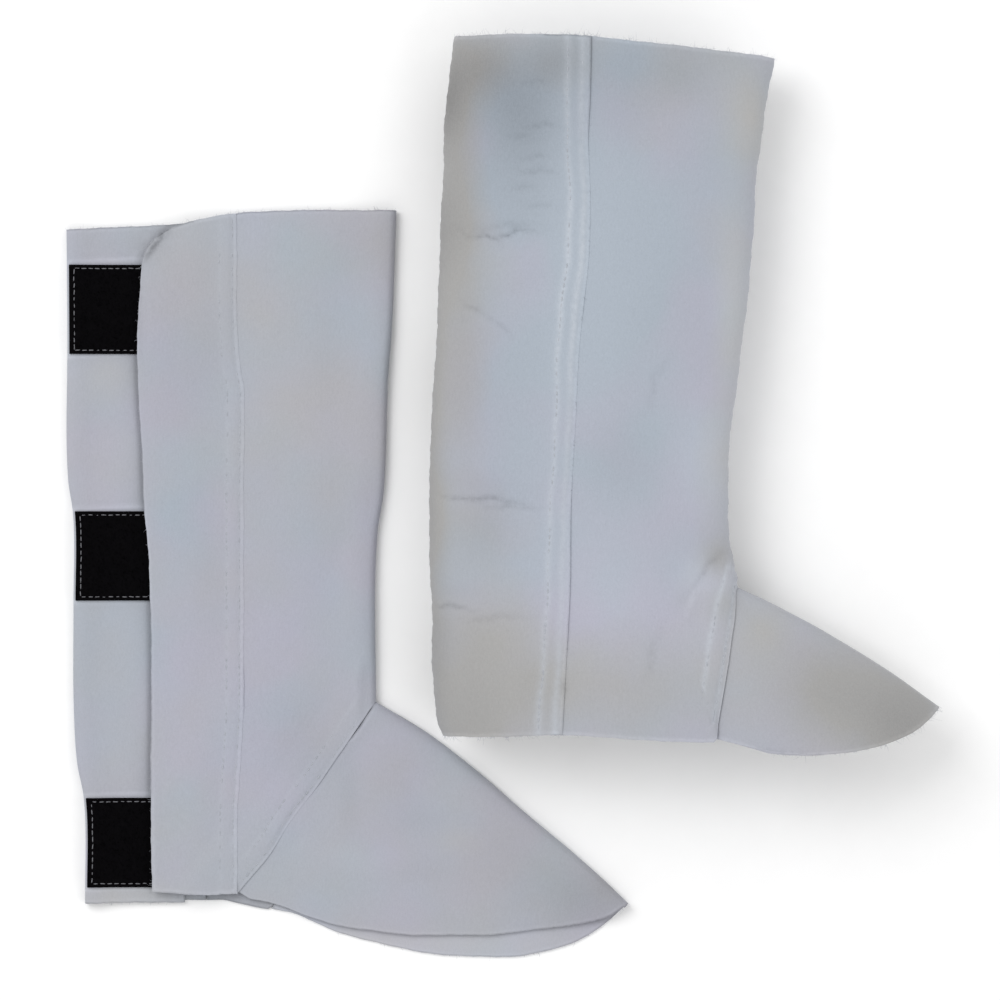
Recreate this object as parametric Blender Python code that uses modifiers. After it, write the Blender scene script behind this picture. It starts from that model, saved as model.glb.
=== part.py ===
"""Pair of welding leg guards (leather spats) with hook-and-loop closures.

One guard is laid out flat, closure up. Its mirrored mate is closed and filled out, and lies on its side.
Each is cut from split leather: a front panel folded round the shin, a back panel that goes round the calf and
ends as the underlap, a flap that closes over it, and one toe piece folded along the instep.

Every guard has its own plan: "across" runs from the back fold towards the toe, "height" from the hem to the
top, and the third direction leaves the cloth. All tables are in millimetres.
"""
import math

import bpy
import numpy as np
from mathutils import Vector

MM = 0.001

# ---- stock
LEATHER = 1.5                      # split leather wall
TAPE = 1.5                         # hook or loop tape with its backing
GAP = 0.3                          # air between two pieces that lie on each other
SEAM_GAP = 0.8                     # air where two folded edges meet
LAYER = LEATHER + GAP              # rise from one layer's middle to the next
FLOOR_LAYER = LEATHER / 2          # middle of the layer that lies on the floor
TAPE_HEIGHT = 50.0                 # standard 50 mm tape
LOOP_FROM = 2.6                    # loop tape starts this far round from the back fold
TAPES_TO = 61.0                    # across: where loop and hook tapes end beneath the flap
UNDERLAP_TO = 64.0                 # across: the underlap's free edge
HOOK_INSET = 4.0                   # hook tape starts this far inside the flap's free edge
SEAM_LAP = 12.0                    # width of a lapped, double-stitched seam
BAND_TOPS = (358.0, 220.0, 59.5)   # upper edges of the three tapes

# ---- flat guard: outlines
BACK_FOLD = (  # height, across
    (0, 8.1), (59, 7.4), (79, 3.7), (108, 1.8), (169, 1.6), (218, 1.4), (238, -1.4), (317, -1.8), (378, -2.3))
SHIN_FOLD = (  # height, across
    (0, 171.1), (114, 171.1), (208, 172.0), (230, 175.3), (295, 178.0), (323, 180.1), (389, 182.6))
FLAP_EDGE = (  # height, across
    (7, 46.0), (59, 45.3), (188, 44.5), (220, 41.9), (252, 40.3), (306, 37.7), (331, 38.4), (359, 40.3))
FLAP_SEAM = (  # height, across: the flap's edge over the front panel
    (6, 93.5), (45, 93.5), (115, 97.0), (225, 97.0), (285, 97.5), (305, 94.5), (388, 93.0))
FLAP_TOP = (  # across, height, with the rounded corner
    (37.0, 355), (40.3, 358.8), (41.4, 363), (43.6, 367.6), (47.5, 372.4), (53.6, 376.8), (64.4, 381.3),
    (96.6, 387.3), (110, 388.2))
PANEL_TOP = (  # across, height of the front panel
    (60, 381.5), (96.6, 387.3), (147, 388.7), (183, 388.4))
BACK_TOP = ((-3, 377.7), (60, 380.9), (80, 382.0))           # across, height of the back panel
FLAP_HEM = ((40, 7.6), (46, 7.2), (58, 6.3), (78, 5.6), (90, 5.8), (110, 6.1))    # across, height
UNDERLAP_HEM = ((0, 0.3), (70, 1.0))                         # across, height
FAR_HEM = (  # across, height of the lower layer, which shows as a strip beneath the flap's hem
    (0, 0.3), (40, 1.6), (64, 2.1), (76, 2.0), (85, 2.2), (91, 0.9), (100, -1.1), (106, -2.4), (112, -3.2),
    (130, -4.0))
TOE_SEAM = (  # across, height: the shaft's edge over the toe piece
    (60, -37), (93.6, 6), (113.2, 29.9), (121.9, 44.6), (138.5, 66.2), (149, 81.4), (171.2, 113.9))
FAR_TOE_SEAM = ((95, -37), (112, -3.2), (125, 24), (145, 63), (160, 93), (171.2, 113.9))
NEAR_TOE_HEM = (  # across, height
    (93.6, 4.6), (115.9, -0.5), (130.4, -6.0), (151.8, -12.4), (165.6, -14.6), (196.9, -17.5), (228.2, -17.5),
    (259.4, -14.6), (287.5, -10.6), (303.1, -6.0), (312.3, 0.5))
FAR_TOE_HEM = (  # across, height
    (112, -3.4), (121.9, -4.6), (150, -15.9), (181.2, -24.1), (204.7, -28.3), (220.3, -29.5), (243.8, -29.8),
    (267.3, -26.4), (282.9, -21.4), (295.3, -14.3), (305, -6.5), (312.3, 0.5))
TOE_RIDGE_BOW = (  # share of the ridge from ankle to tip, bow of the ridge
    (0, 0), (0.18, 4.4), (0.38, 5.1), (0.57, 3.7), (0.76, 3.0), (0.9, 1.7), (1, 0))
ANKLE = (171.2, 113.9)             # across, height of the ankle point
TIP = (312.3, 0.5)                 # across, height of the toe's tip
TOE_LEAN = np.array([0.82, -0.57])  # direction in plan from the shaft across the toe seam
FAR_SEAM = 76.0                    # the plain side's seam, hidden underneath
NEAR_PANEL_EDGE = 84.0             # the front panel's edge beneath the flap
SHIN_BEND = 3.0                    # radius of the shin fold, at the middle of the leather
BACK_BEND = 2.2                    # radius of the back fold
SHIN_SWELL = 14.0                  # how far the shin fold holds the leather up
BACK_SWELL = 10.0
TOE_SWELL = 24.0
TIP_SWELL = 13.0
LAP_END = (2.0, 12.0)              # distances past a lap over which the upper sheet comes down
FLAP_SPARE = 5.0                   # the flap comes down this much later than the sheet beneath it
FOLD_END = (2.0, 8.0)              # distances from the shin fold over which the lap's rise starts
HELD_PAST = 3.0                    # a tape holds the flap fully up this far past its own edges
HELD_FADE = 26.0                   # and partly over this distance
SAG = 0.42                         # share of the flap's rise that is left between the tapes
UNDERLAP_END = (3.0, 19.0)         # distances past the underlap over which the flap comes down
CORNER_LIFT = 1.6                  # rise of the flap's rounded corner
CORNER_SLOPE = 0.6                 # height over across of the line from which the corner rises
CORNER_HEIGHTS = (330.0, 362.0)    # heights of that line at across 0, where the rise starts and is whole
CORNER_ACROSS = (44.0, 70.0)       # across: where the rise starts to fade and is gone
HOOK_MARGIN = 1.0                  # hook tapes are this much lower than loop tapes at each end
HOOK_CLEAR = 2.5                   # least distance of a hook tape from the flap's corner
TOE_LAP_START = (9.0, 22.0)        # distances inside the shin fold over which the toe piece's lap starts
FAN = 0.8                          # power by which the toe piece's lines fan out along the hem
CORNER_STEP = 6.0                  # across: first step of those lines from the corner at the hem

# ---- flat guard: where the columns and rows of the sheets stand, as shares
BEND_TURNS = np.radians([60, 30, 0, -30, -60])
FRONT_NEAR = (1.0, 0.86, 0.7, 0.54, 0.38, 0.25, 0.15, 0.07, 0)
FRONT_FAR = (0, 0.12, 0.3, 0.5, 0.75, 1.0)
FRONT_ROWS = np.concatenate([[0, 0.03, 0.06, 0.1], np.linspace(0.16, 1, 13)])
BACK_FAR = np.array([1.0, 0.75, 0.5, 0.28, 0.1, 0])
BACK_TURNS = np.radians([-60, -30, 0, 30, 60, 90])
BACK_NEAR = np.array([0.06, 0.13, 0.22, 0.34, 0.55, 0.78, 1.0])
BACK_ROWS = np.linspace(0, 1, 17)
FLAP_SHARES = np.array([0, 0.02, 0.06, 0.13, 0.24, 0.38, 0.47, 0.58, 0.7, 0.84, 1.0])
FLAP_ROWS = np.linspace(0, 1, 25)
LOOP_SHARES = np.array([0, 0.015, 0.033, 0.06, 0.1, 0.16, 0.24, 0.36, 0.6, 1.0])
TOE_NEAR = (1.0, 0.9, 0.8, 0.7, 0.6, 0.5, 0.41, 0.32, 0.23, 0.15, 0.08, 0.03, 0)
TOE_FAR = (0, 0.06, 0.14, 0.25, 0.38, 0.52, 0.66, 0.8, 0.91, 1.0)
TOE_ROWS = np.concatenate([[0, 0.05, 0.1, 0.17], np.linspace(0.28, 1, 6)])
SEAM_LEVEL = 60.0                  # height at which a column's place over the toe seam is taken
TOP_LEVEL = 385.0                  # height at which a column's place at the top edge is taken

# ---- worn guard: outlines in side view
WORN_BACK = (  # height, across
    (0, 9.5), (9, 5.4), (35, 2.6), (67, 1.4), (139, 0.0), (234, 5.0), (355, 9.8), (389, 14.0))
WORN_FRONT = (  # height, across; below the ankle the walls run on to the open instep
    (0, 215), (20, 205), (40, 195), (60, 183), (75, 174.5), (85, 170.4), (100, 166.6), (112, 164.4),
    (143, 164.2), (234, 173.6), (337, 182.9), (377, 190.1))
WORN_HALF_DEPTH = (  # height, half of the hollow section's depth
    (0, 31.0), (40, 30.0), (85, 27.5), (140, 26.0), (234, 25.5), (330, 22.5), (389, 20.5))
WORN_TOP = ((0, 388.6), (14, 388.6), (73, 388.2), (130, 382.8), (191, 376.6))     # across, height
WORN_HEM = ((0, 4.5), (10, 2.7), (45, 3.4), (73, 4.4), (115, 1.6), (160, 0.0))      # across, height
WORN_SEAM = (  # height, across
    (0, 72.5), (40, 74.6), (84, 76.9), (128, 77.4), (173, 79.8), (218, 82.2), (241, 84.6), (265, 87.2),
    (300, 88.0), (330, 87.0), (355, 88.0), (389, 88.6))
WORN_TOE_SEAM = (  # girth from the shin's middle, height
    (0, 85), (5, 82.5), (10.5, 75), (22, 60), (35, 40), (45.5, 20), (51.5, 8), (54.5, 2), (62, -20))
WORN_TOE_HEM = (  # across, height
    (150, 0.2), (170, -2.2), (200.8, -6.2), (225, -5.2), (246.3, -1.8), (268, 7.2), (281.1, 17.8))
WORN_CREASES = (  # height, across, half length, half width, depth, tilt in degrees
    (88, 157, 24, 9, 2.4, 56),
    (135, 34, 30, 8, 1.6, -8),
    (79, 14, 16, 7, 1.5, -4),
    (277, 40, 26, 8, 1.3, 3),
    (246, 52, 30, 9, 1.2, 28))
WORN_TURN = 4.4                    # how far the worn guard's closure is turned round from its back
WORN_LAP_END = (1.0, 11.0)         # distances past the plain seam's lap over which the back panel comes down
TOE_PLAN = (185.0, 96.0, 37.0)     # worn toe seen from above: middle, length ahead of it, half width
TOE_FULLNESS = 4.0                 # how far the worn toe piece swells between seam and hem
TOE_DEPTH = 1.6                    # layers by which the worn toe piece lies inside the shaft
TOE_FORWARD = (0.25, 0.1, 0.75)    # direction of the swell: ahead, up at the sides, more at the middle
NOMINAL = (84.0, 25.5)             # half width and half depth by which the girth is divided
WORN_PLACE = (202.0, 93.5)         # the worn guard's back and hem in the flat guard's plan

# ---- worn guard: where the columns and rows of the sheets stand, girths in millimetres and rows as shares
SHIN_COLUMNS = np.array([0, 2.5, 5.5, 9, 13, 18, 24, 31, 38, 44, 49.5, 54.5])    # from the shin's middle
CALF_COLUMNS = np.array([20, 13, 9, 5.5, 2.6, 0, -2.6, -4.8])                     # from the back
LOOP_COLUMNS = np.array([0, 2.9, 6.4, 10.4, 17.4, 28.4, 42.4, TAPES_TO - LOOP_FROM])  # from the tape's start
LAP_COLUMNS = np.array([0, 4, 8, 12])                                            # from a lapped edge
BACK_PAST_LAP = (17, 23, 31)                                                     # on from there, back panel
FRONT_PAST_LAP = (22, 32)                                                        # on from there, front panel
UNDER_FLAP = (28, 16)                              # from the front panel's edge beneath the flap
BACK_BETWEEN = np.array([0.45])                    # shares of the way on to the calf's columns
FRONT_BETWEEN = np.array([0.5])                    # shares of the way on to the shin's columns
FLAP_COLUMNS = np.array([0, 0.12, 0.24, 0.45, 0.62, 0.76, 0.88, 1])              # shares, seam to free edge
WORN_BACK_ROWS = np.concatenate([np.linspace(0, 0.4, 14)[:-1], np.linspace(0.4, 1, 15)])
WORN_FRONT_ROWS = np.concatenate([np.linspace(0, 0.36, 12)[:-1], np.linspace(0.36, 1, 12)])
WORN_TAPE_ROWS = np.linspace(0, 1, 6)
WORN_TOE_ROWS = np.linspace(0, 1, 10)

LEATHER_COLOUR = (0.42, 0.435, 0.46, 1)
LOOP_COLOUR = (0.006, 0.005, 0.007, 1)
HOOK_COLOUR = (0.010, 0.010, 0.011, 1)


def along(x, table):
    """Smooth curve through a two-column table: cubic pieces, with the mean of their neighbours' slopes."""
    xs, ys = (np.array(column, float) for column in zip(*table))
    steps = np.diff(ys) / np.diff(xs)
    slopes = np.concatenate([steps[:1], (steps[:-1] + steps[1:]) / 2, steps[-1:]])
    turning = np.concatenate([[False], steps[:-1] * steps[1:] <= 0, [False]])
    slopes[turning] = 0
    x = np.clip(x, xs[0], xs[-1])
    i = np.clip(np.searchsorted(xs, x) - 1, 0, len(xs) - 2)
    width = xs[i + 1] - xs[i]
    t = (x - xs[i]) / width
    rise = ys[i] * (1 + 2 * t) * (1 - t) ** 2 + ys[i + 1] * t ** 2 * (3 - 2 * t)
    return rise + width * (slopes[i] * t * (1 - t) ** 2 - slopes[i + 1] * t ** 2 * (1 - t))


def smooth(x, start, end):
    """0 before start, 1 after end, with an S-shaped passage."""
    t = np.clip((x - start) / (end - start), 0, 1)
    return t * t * (3 - 2 * t)


def level(number):
    """Height of the middle of a layer in the flat stack, 0 on the floor."""
    return FLOOR_LAYER + LAYER * number


def sheet(name, points, wall, material, collection, parent):
    """Closed wall of even thickness about a grid of points in millimetres."""
    rows, columns = points.shape[:2]
    corner = np.arange(rows * columns).reshape(rows, columns)
    faces = np.stack([corner[:-1, :-1], corner[:-1, 1:], corner[1:, 1:], corner[1:, :-1]], axis=-1)
    mesh = bpy.data.meshes.new(name)
    mesh.from_pydata((points.reshape(-1, 3) * MM).tolist(), [], faces.reshape(-1, 4).tolist())
    mesh.materials.append(material)
    mesh.shade_smooth()
    piece = bpy.data.objects.new(name, mesh)
    thickness = piece.modifiers.new("wall", "SOLIDIFY")
    thickness.thickness = wall * MM
    thickness.offset = 0
    collection.objects.link(piece)
    piece.parent = parent
    return piece


# ---- flat guard

def near_layer(across, height):
    """Middle of the upper shaft layer: it lies on the lower one and swells up towards the shin fold."""
    inside = along(height, SHIN_FOLD) - FLOOR_LAYER - SHIN_BEND - across
    swell = level(0) + 2 * SHIN_BEND - level(1)
    return level(1) + swell * np.exp(-(np.maximum(inside, 0) / SHIN_SWELL) ** 2)


def toe_lap_rise(across, height, spare=0.0):
    """Extra layer where the shaft lies over the toe piece; none in the last millimetres before the fold."""
    past = (along(across, TOE_SEAM) - height) * TOE_LEAN[1] - SEAM_LAP - spare
    inside = SHIN_FOLD[0][1] - SHIN_BEND - across
    return LAYER * (1 - smooth(past, *LAP_END)) * smooth(inside, *FOLD_END)


def folded(near, far):
    """Columns of a folded sheet: the turn of its bend, and the share of the half still to go or gone."""
    turn = np.concatenate([np.full(len(near), math.pi / 2), BEND_TURNS, np.full(len(far), -math.pi / 2)])
    return turn, np.concatenate([near, 0 * BEND_TURNS, far])


def flat_front_panel():
    """Front panel: upper half from the flap's seam to the shin, U-bend, lower half back to the plain seam."""
    turn, share = folded(FRONT_NEAR, FRONT_FAR)
    upper = turn > 0
    edge = np.where(upper, NEAR_PANEL_EDGE, FAR_SEAM + GAP)

    def across_at(height):
        inner = along(height, SHIN_FOLD) - FLOOR_LAYER - SHIN_BEND
        return inner - share * (inner - edge) + SHIN_BEND * np.cos(turn)

    start = across_at(np.full(turn.size, SEAM_LEVEL))
    low_near = np.maximum(along(start, FLAP_HEM), along(start, TOE_SEAM))
    low_far = np.maximum(along(start, FAR_HEM), along(start, FAR_TOE_SEAM))
    low = np.where(turn >= 0, low_near, low_far)
    high = along(across_at(np.full(turn.size, TOP_LEVEL)), PANEL_TOP)
    height = low + (high - low) * FRONT_ROWS[:, None]
    across = across_at(height)
    out = FLOOR_LAYER + SHIN_BEND * (1 + np.sin(turn)) + 0 * height
    lying = near_layer(across, height) + toe_lap_rise(across, height)
    out = np.where(upper & (share > 0), lying, out)
    return np.stack([across, height, out], axis=-1)


def back_section(height, girth):
    """Across and out of the back panel's middle, at a distance round it from the back fold, upper half."""
    fold = along(height, BACK_FOLD) + FLOOR_LAYER
    turn = np.clip(girth / BACK_BEND, 0, math.pi / 2)
    flat = np.maximum(girth - BACK_BEND * math.pi / 2, 0)
    across = fold + BACK_BEND * (1 - np.cos(turn)) + flat
    swell = level(0) + 2 * BACK_BEND - level(1)
    lying = level(1) + swell * np.exp(-(flat / BACK_SWELL) ** 2)
    out = np.where(flat > 0, lying, level(0) + BACK_BEND * (1 + np.sin(turn)))
    return across, out


def flat_back_panel():
    """Back panel: lower half from the plain seam to the back fold, U-bend, and the underlap on top."""
    rows = BACK_ROWS[:, None]
    hem, top = UNDERLAP_HEM[0][1], along(0.0, BACK_TOP)
    height = hem + (top - hem) * rows
    inner = along(height, BACK_FOLD) + FLOOR_LAYER + BACK_BEND
    low_across = inner + BACK_FAR * (FAR_SEAM - inner)
    low_out = np.full(low_across.shape, level(0))
    bend_across = inner - BACK_BEND * np.cos(BACK_TURNS)
    bend_out = level(0) + BACK_BEND * (1 + np.sin(BACK_TURNS)) + 0 * height
    girth = BACK_BEND * math.pi / 2 + BACK_NEAR * (UNDERLAP_TO - inner)
    top_across, top_out = back_section(height + 0 * girth, girth)
    across = np.concatenate([low_across, bend_across, top_across], axis=1)
    out = np.concatenate([low_out, bend_out, top_out], axis=1)
    below = np.arange(across.shape[1]) < BACK_FAR.size
    hem = np.where(below, along(across, FAR_HEM), along(across, UNDERLAP_HEM))
    height = hem + (along(across, BACK_TOP) - hem) * rows
    return np.stack([across, height, out], axis=-1)


def flap_lift(across, height):
    """Rise of the flap over the tapes, its sag between them, and its lifted upper corner."""
    held = np.full(np.shape(height), 0.0)
    for top in BAND_TOPS:
        past = np.abs(height - top + TAPE_HEIGHT / 2) - TAPE_HEIGHT / 2 - HELD_PAST
        held = np.maximum(held, np.exp(-(np.maximum(past, 0) / HELD_FADE) ** 2))
    over = 1 - smooth(across - UNDERLAP_TO, *UNDERLAP_END)
    corner = smooth(height - CORNER_SLOPE * across, *CORNER_HEIGHTS) * (1 - smooth(across, *CORNER_ACROSS))
    return 2 * LAYER * over * (SAG + (1 - SAG) * held) + CORNER_LIFT * corner


def flap_points(across, height):
    """Flap: two layers above the lowest one, and its own rise."""
    out = level(2) + flap_lift(across, height) + toe_lap_rise(across, height, FLAP_SPARE)
    return np.stack([across, height, out], axis=-1)


def flat_flap():
    """Flap: from its free edge over the tapes to its lapped seam on the front panel."""

    def across_at(height):
        edge = along(height, FLAP_EDGE)
        return edge + FLAP_SHARES * (along(height, FLAP_SEAM) - edge)

    rows = FLAP_ROWS[:, None]
    across = across_at(FLAP_HEM[0][1] + (FLAP_TOP[2][1] - FLAP_HEM[0][1]) * rows)
    low, high = along(across[:1], FLAP_HEM), along(across[-1:], FLAP_TOP)
    height = low + (high - low) * rows
    return flap_points(across_at(height), height)


def flat_loop_tape(top):
    """Loop tape sewn on the underlap: the underlap's own points, moved out by one layer."""
    rows = np.linspace(top - TAPE_HEIGHT, top, 4)[:, None]
    girth = LOOP_FROM + LOOP_SHARES * (TAPES_TO - along(rows, BACK_FOLD) - LOOP_FROM)
    height = rows + 0 * girth
    step = 0.2
    across, out = back_section(height, girth)
    ahead_across, ahead_out = back_section(height, girth + step)
    slope = np.stack([ahead_across - across, ahead_out - out])
    slope = slope / np.linalg.norm(slope, axis=0)
    return np.stack([across - slope[1] * LAYER, height, out + slope[0] * LAYER], axis=-1)


def flat_hook_tape(top):
    """Hook tape sewn inside the flap: the flap's own points, moved in by one layer."""
    rows = np.linspace(top - TAPE_HEIGHT + HOOK_MARGIN, top - HOOK_MARGIN, 4)[:, None]
    height = np.minimum(rows, FLAP_TOP[1][1] - HOOK_CLEAR)
    edge = along(height, FLAP_EDGE) + HOOK_INSET
    across = edge + np.linspace(0, 1, 4) * (TAPES_TO - edge)
    return np.stack([across, height + 0 * across, level(3) + 0 * across], axis=-1)


def flat_toe_piece():
    """Toe piece: upper half, U-bend along the ridge, lower half. Each line runs from the seam to the hem."""
    turn, share = folded(TOE_NEAR, TOE_FAR)
    upper = turn > 0
    flat = np.abs(turn) > BEND_TURNS[0]
    tuck = SHIN_BEND * (1 - np.cos(turn)) + FLOOR_LAYER
    ankle, tip = np.array(ANKLE), np.array(TIP)
    ridge = (tip - ankle) / np.linalg.norm(tip - ankle)
    outward = np.array([-ridge[1], ridge[0]])
    corner = np.where(upper, NEAR_TOE_HEM[0][0], FAR_TOE_HEM[0][0]) + GAP
    inside = share * (ANKLE[0] - tuck - corner)
    seam_across = ANKLE[0] - tuck - inside
    seam_height = np.where(turn >= 0, along(seam_across, TOE_SEAM), along(seam_across, FAR_TOE_SEAM))
    hem_start = TIP[0] - tuck * outward[0]
    hem_across = hem_start - share ** FAN * (hem_start - corner - CORNER_STEP)
    hem_height = np.where(upper, along(hem_across, NEAR_TOE_HEM), along(hem_across, FAR_TOE_HEM))
    hem_height = np.where(flat, hem_height, TIP[1] - tuck * outward[1])
    lap = np.where(upper, (SEAM_LAP + SEAM_GAP) * smooth(inside, *TOE_LAP_START), 0)
    seam = np.stack([seam_across, seam_height], axis=-1) + TOE_LEAN * (SEAM_GAP - lap)[:, None]
    hem = np.stack([hem_across, hem_height], axis=-1)
    steps = TOE_ROWS[:, None, None]
    plan = seam + (hem - seam) * steps
    bow = along(steps[..., 0], TOE_RIDGE_BOW) * (1 - share) ** 2
    plan = plan + bow[..., None] * outward
    depth = np.maximum((ankle - plan) @ outward + bow - SHIN_BEND, 0)
    swell = level(0) + 2 * SHIN_BEND - level(1)
    reach = TOE_SWELL + (TIP_SWELL - TOE_SWELL) * steps[..., 0]
    lying = level(1) + swell * np.exp(-(depth / reach) ** 2)
    beneath = plan[..., 1] > along(plan[..., 0], TOE_SEAM)
    lying = np.where(beneath, near_layer(plan[..., 0], plan[..., 1]), lying)
    out = FLOOR_LAYER + SHIN_BEND * (1 + np.sin(turn)) + 0 * lying
    out = np.where(upper & (share > 0), lying, out)
    return np.concatenate([plan, out[..., None]], axis=-1)


def build_flat_guard(leather, loop, hook, collection, parent):
    """The guard that is laid out flat, with its closure up."""
    sheet("flat_front_panel", flat_front_panel(), LEATHER, leather, collection, parent)
    sheet("flat_back_panel", flat_back_panel(), LEATHER, leather, collection, parent)
    sheet("flat_flap", flat_flap(), LEATHER, leather, collection, parent)
    sheet("flat_toe_piece", flat_toe_piece(), LEATHER, leather, collection, parent)
    for number, top in enumerate(BAND_TOPS, 1):
        sheet(f"flat_loop_tape_{number}", flat_loop_tape(top), TAPE, loop, collection, parent)
        sheet(f"flat_hook_tape_{number}", flat_hook_tape(top), TAPE, hook, collection, parent)


# ---- worn guard: points are (across, height, out), and the plain side has positive girth and positive out

def oval(turn, half_width, half_depth):
    """Point of the section's oval at an angle round from the back."""
    return -half_width * np.cos(turn), half_depth * np.sin(turn)


TURNS = np.linspace(-math.pi, 2 * math.pi, 1621)
GIRTHS = np.concatenate([[0], np.cumsum(np.hypot(*np.diff(oval(TURNS, *NOMINAL))))])
GIRTHS = GIRTHS - np.interp(0, TURNS, GIRTHS)
SHIN_GIRTH = float(np.interp(math.pi, TURNS, GIRTHS))


def worn_section(height):
    """Middle, half width and half depth of the hollow section at a height."""
    back, front = along(height, WORN_BACK), along(height, WORN_FRONT)
    return (back + front) / 2, (front - back) / 2, along(height, WORN_HALF_DEPTH)


def crease_depth(across, height):
    """Depth of the large soft creases: each a trough that fades along and across its own line."""
    depth = 0
    for at_height, at_across, half_length, half_width, deep, tilt in WORN_CREASES:
        cos, sin = math.cos(math.radians(tilt)), math.sin(math.radians(tilt))
        aside, up = across - at_across, height - at_height
        lengthwise = (aside * cos + up * sin) / half_length
        crosswise = (up * cos - aside * sin) / half_width
        depth = depth + deep * np.exp(-lengthwise ** 2 - crosswise ** 2)
    return depth


def worn_points(girth, height, layer):
    """Points of a layer of the worn shaft: the oval at that height, moved out along its normal."""
    turn = np.interp(girth, GIRTHS, TURNS)
    middle, half_width, half_depth = worn_section(height)
    across, out = oval(turn, half_width, half_depth)
    run_across, run_out = half_width * np.sin(turn), half_depth * np.cos(turn)
    length = np.hypot(run_across, run_out)
    move = layer * LAYER - crease_depth(middle + across, height) * smooth(out, 3, 12)
    across = middle + across - run_out / length * move
    out = out + run_across / length * move
    return np.stack([across, height + 0 * across, out], axis=-1)


def worn_seam(height):
    """Girth of the plain side's seam, which is drawn in side view."""
    middle, half_width, _ = worn_section(height)
    turn = np.arccos(np.clip((middle - along(height, WORN_SEAM)) / half_width, -1, 1))
    return np.interp(turn, TURNS, GIRTHS)


def worn_panel(girth_of, rows, layer_of):
    """Panel from the hem or the toe seam to the top; girth_of gives each column's girth at its own height."""
    low = 0 * girth_of(0.0)
    for _ in range(8):
        girth = girth_of(low)
        seam = along(np.abs(SHIN_GIRTH - girth), WORN_TOE_SEAM)
        low = np.maximum(seam, along(worn_points(girth, low, 0)[:, 0], WORN_HEM))
    top = worn_points(girth_of(TOP_LEVEL), TOP_LEVEL, 0)
    height = low + (along(top[:, 0], WORN_TOP) - low) * rows[:, None]
    girth = girth_of(height)
    return worn_points(girth, height, layer_of(girth, height))


def beside_seam(near, between, far):
    """Columns from the plain seam to fixed girths: near it, then by shares of the way, then the fixed ones.

    Each column's girth is a share of the seam's girth, which changes with the height, and a fixed part.
    """
    follow = np.concatenate([1 + 0 * near, 1 - between, 0 * far])
    fixed = np.concatenate([near, near[-1] + (far[0] - near[-1]) * between, far])
    return follow, fixed


def worn_back_panel():
    """Back panel: from its lap over the front panel round the calf to the underlap's free edge."""
    underlap = np.append(LOOP_FROM + LOOP_COLUMNS, UNDERLAP_TO) + WORN_TURN
    follow, fixed = beside_seam(
        -np.append(LAP_COLUMNS, BACK_PAST_LAP), BACK_BETWEEN, np.append(CALF_COLUMNS, -underlap))

    def girth_of(height):
        return follow * worn_seam(height) + fixed

    def layer_of(girth, height):
        return 1 - smooth(worn_seam(height) - girth - SEAM_LAP, *WORN_LAP_END)

    return worn_panel(girth_of, WORN_BACK_ROWS, layer_of)


def worn_front_panel():
    """Front panel: from beneath the back panel's lap round the shin to its edge beneath the flap."""
    shin = SHIN_GIRTH + np.concatenate([-SHIN_COLUMNS[:0:-1], SHIN_COLUMNS])
    under_flap = 2 * SHIN_GIRTH - NEAR_PANEL_EDGE - np.append(UNDER_FLAP, LAP_COLUMNS[::-1])
    follow, fixed = beside_seam(
        np.append(LAP_COLUMNS, FRONT_PAST_LAP) - SEAM_LAP, FRONT_BETWEEN, np.append(shin, under_flap))

    def girth_of(height):
        return follow * worn_seam(height) + fixed

    def layer_of(girth, height):
        return 0 * girth

    return worn_panel(girth_of, WORN_FRONT_ROWS, layer_of)


def worn_flap():
    """Flap: from its seam on the front panel over the tapes to its free edge."""
    def girth_of(height):
        seam, edge = along(height, FLAP_SEAM), along(height, FLAP_EDGE)
        return -seam - FLAP_COLUMNS * (edge - seam)

    def layer_of(girth, height):
        return 1 + flap_lift(-girth - WORN_TURN, height) / LAYER

    return worn_panel(girth_of, FLAP_ROWS, layer_of)


def worn_tape(round_back, top, layer):
    """Tape on the closure side: columns at distances round from the back, a number of layers out."""
    height = top - TAPE_HEIGHT * (1 - WORN_TAPE_ROWS[:, None])
    return worn_points(-round_back + 0 * height, height, layer)


def worn_toe_piece():
    """Toe piece: lines run from beneath the shaft's arch to the hem; columns go from far corner to near."""
    girth = np.concatenate([-SHIN_COLUMNS[:0:-1], SHIN_COLUMNS])
    side = girth / SHIN_COLUMNS[-1]
    height = along(np.abs(girth), WORN_TOE_SEAM)
    slope_girth, slope_height = np.gradient(girth), np.gradient(height)
    length = np.hypot(slope_girth, slope_height)
    laps = np.array([SEAM_LAP, SEAM_LAP / 2, 0])[:, None]
    lap_girth = SHIN_GIRTH - girth + laps * slope_height / length
    lap = worn_points(lap_girth, height + laps * slope_girth / length, -TOE_DEPTH)
    middle, ahead, half_width = TOE_PLAN
    plan = side * math.pi / 2
    hem_across = middle + ahead * np.cos(plan)
    hem = np.stack([hem_across, along(hem_across, WORN_TOE_HEM), half_width * np.sin(plan)], axis=-1)
    steps = WORN_TOE_ROWS[1:, None, None]
    seam = lap[-1]
    body = seam + (hem - seam) * steps
    full = TOE_FULLNESS * np.sin(math.pi * steps) * (1 - side ** 4)[:, None]
    ahead_part, up_part, middle_part = TOE_FORWARD
    lean = np.stack([ahead_part + 0 * side, up_part + middle_part * (1 - side ** 2), side], axis=-1)
    body = body + full * lean / np.linalg.norm(lean, axis=1, keepdims=True)
    return np.concatenate([lap, body])


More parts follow.
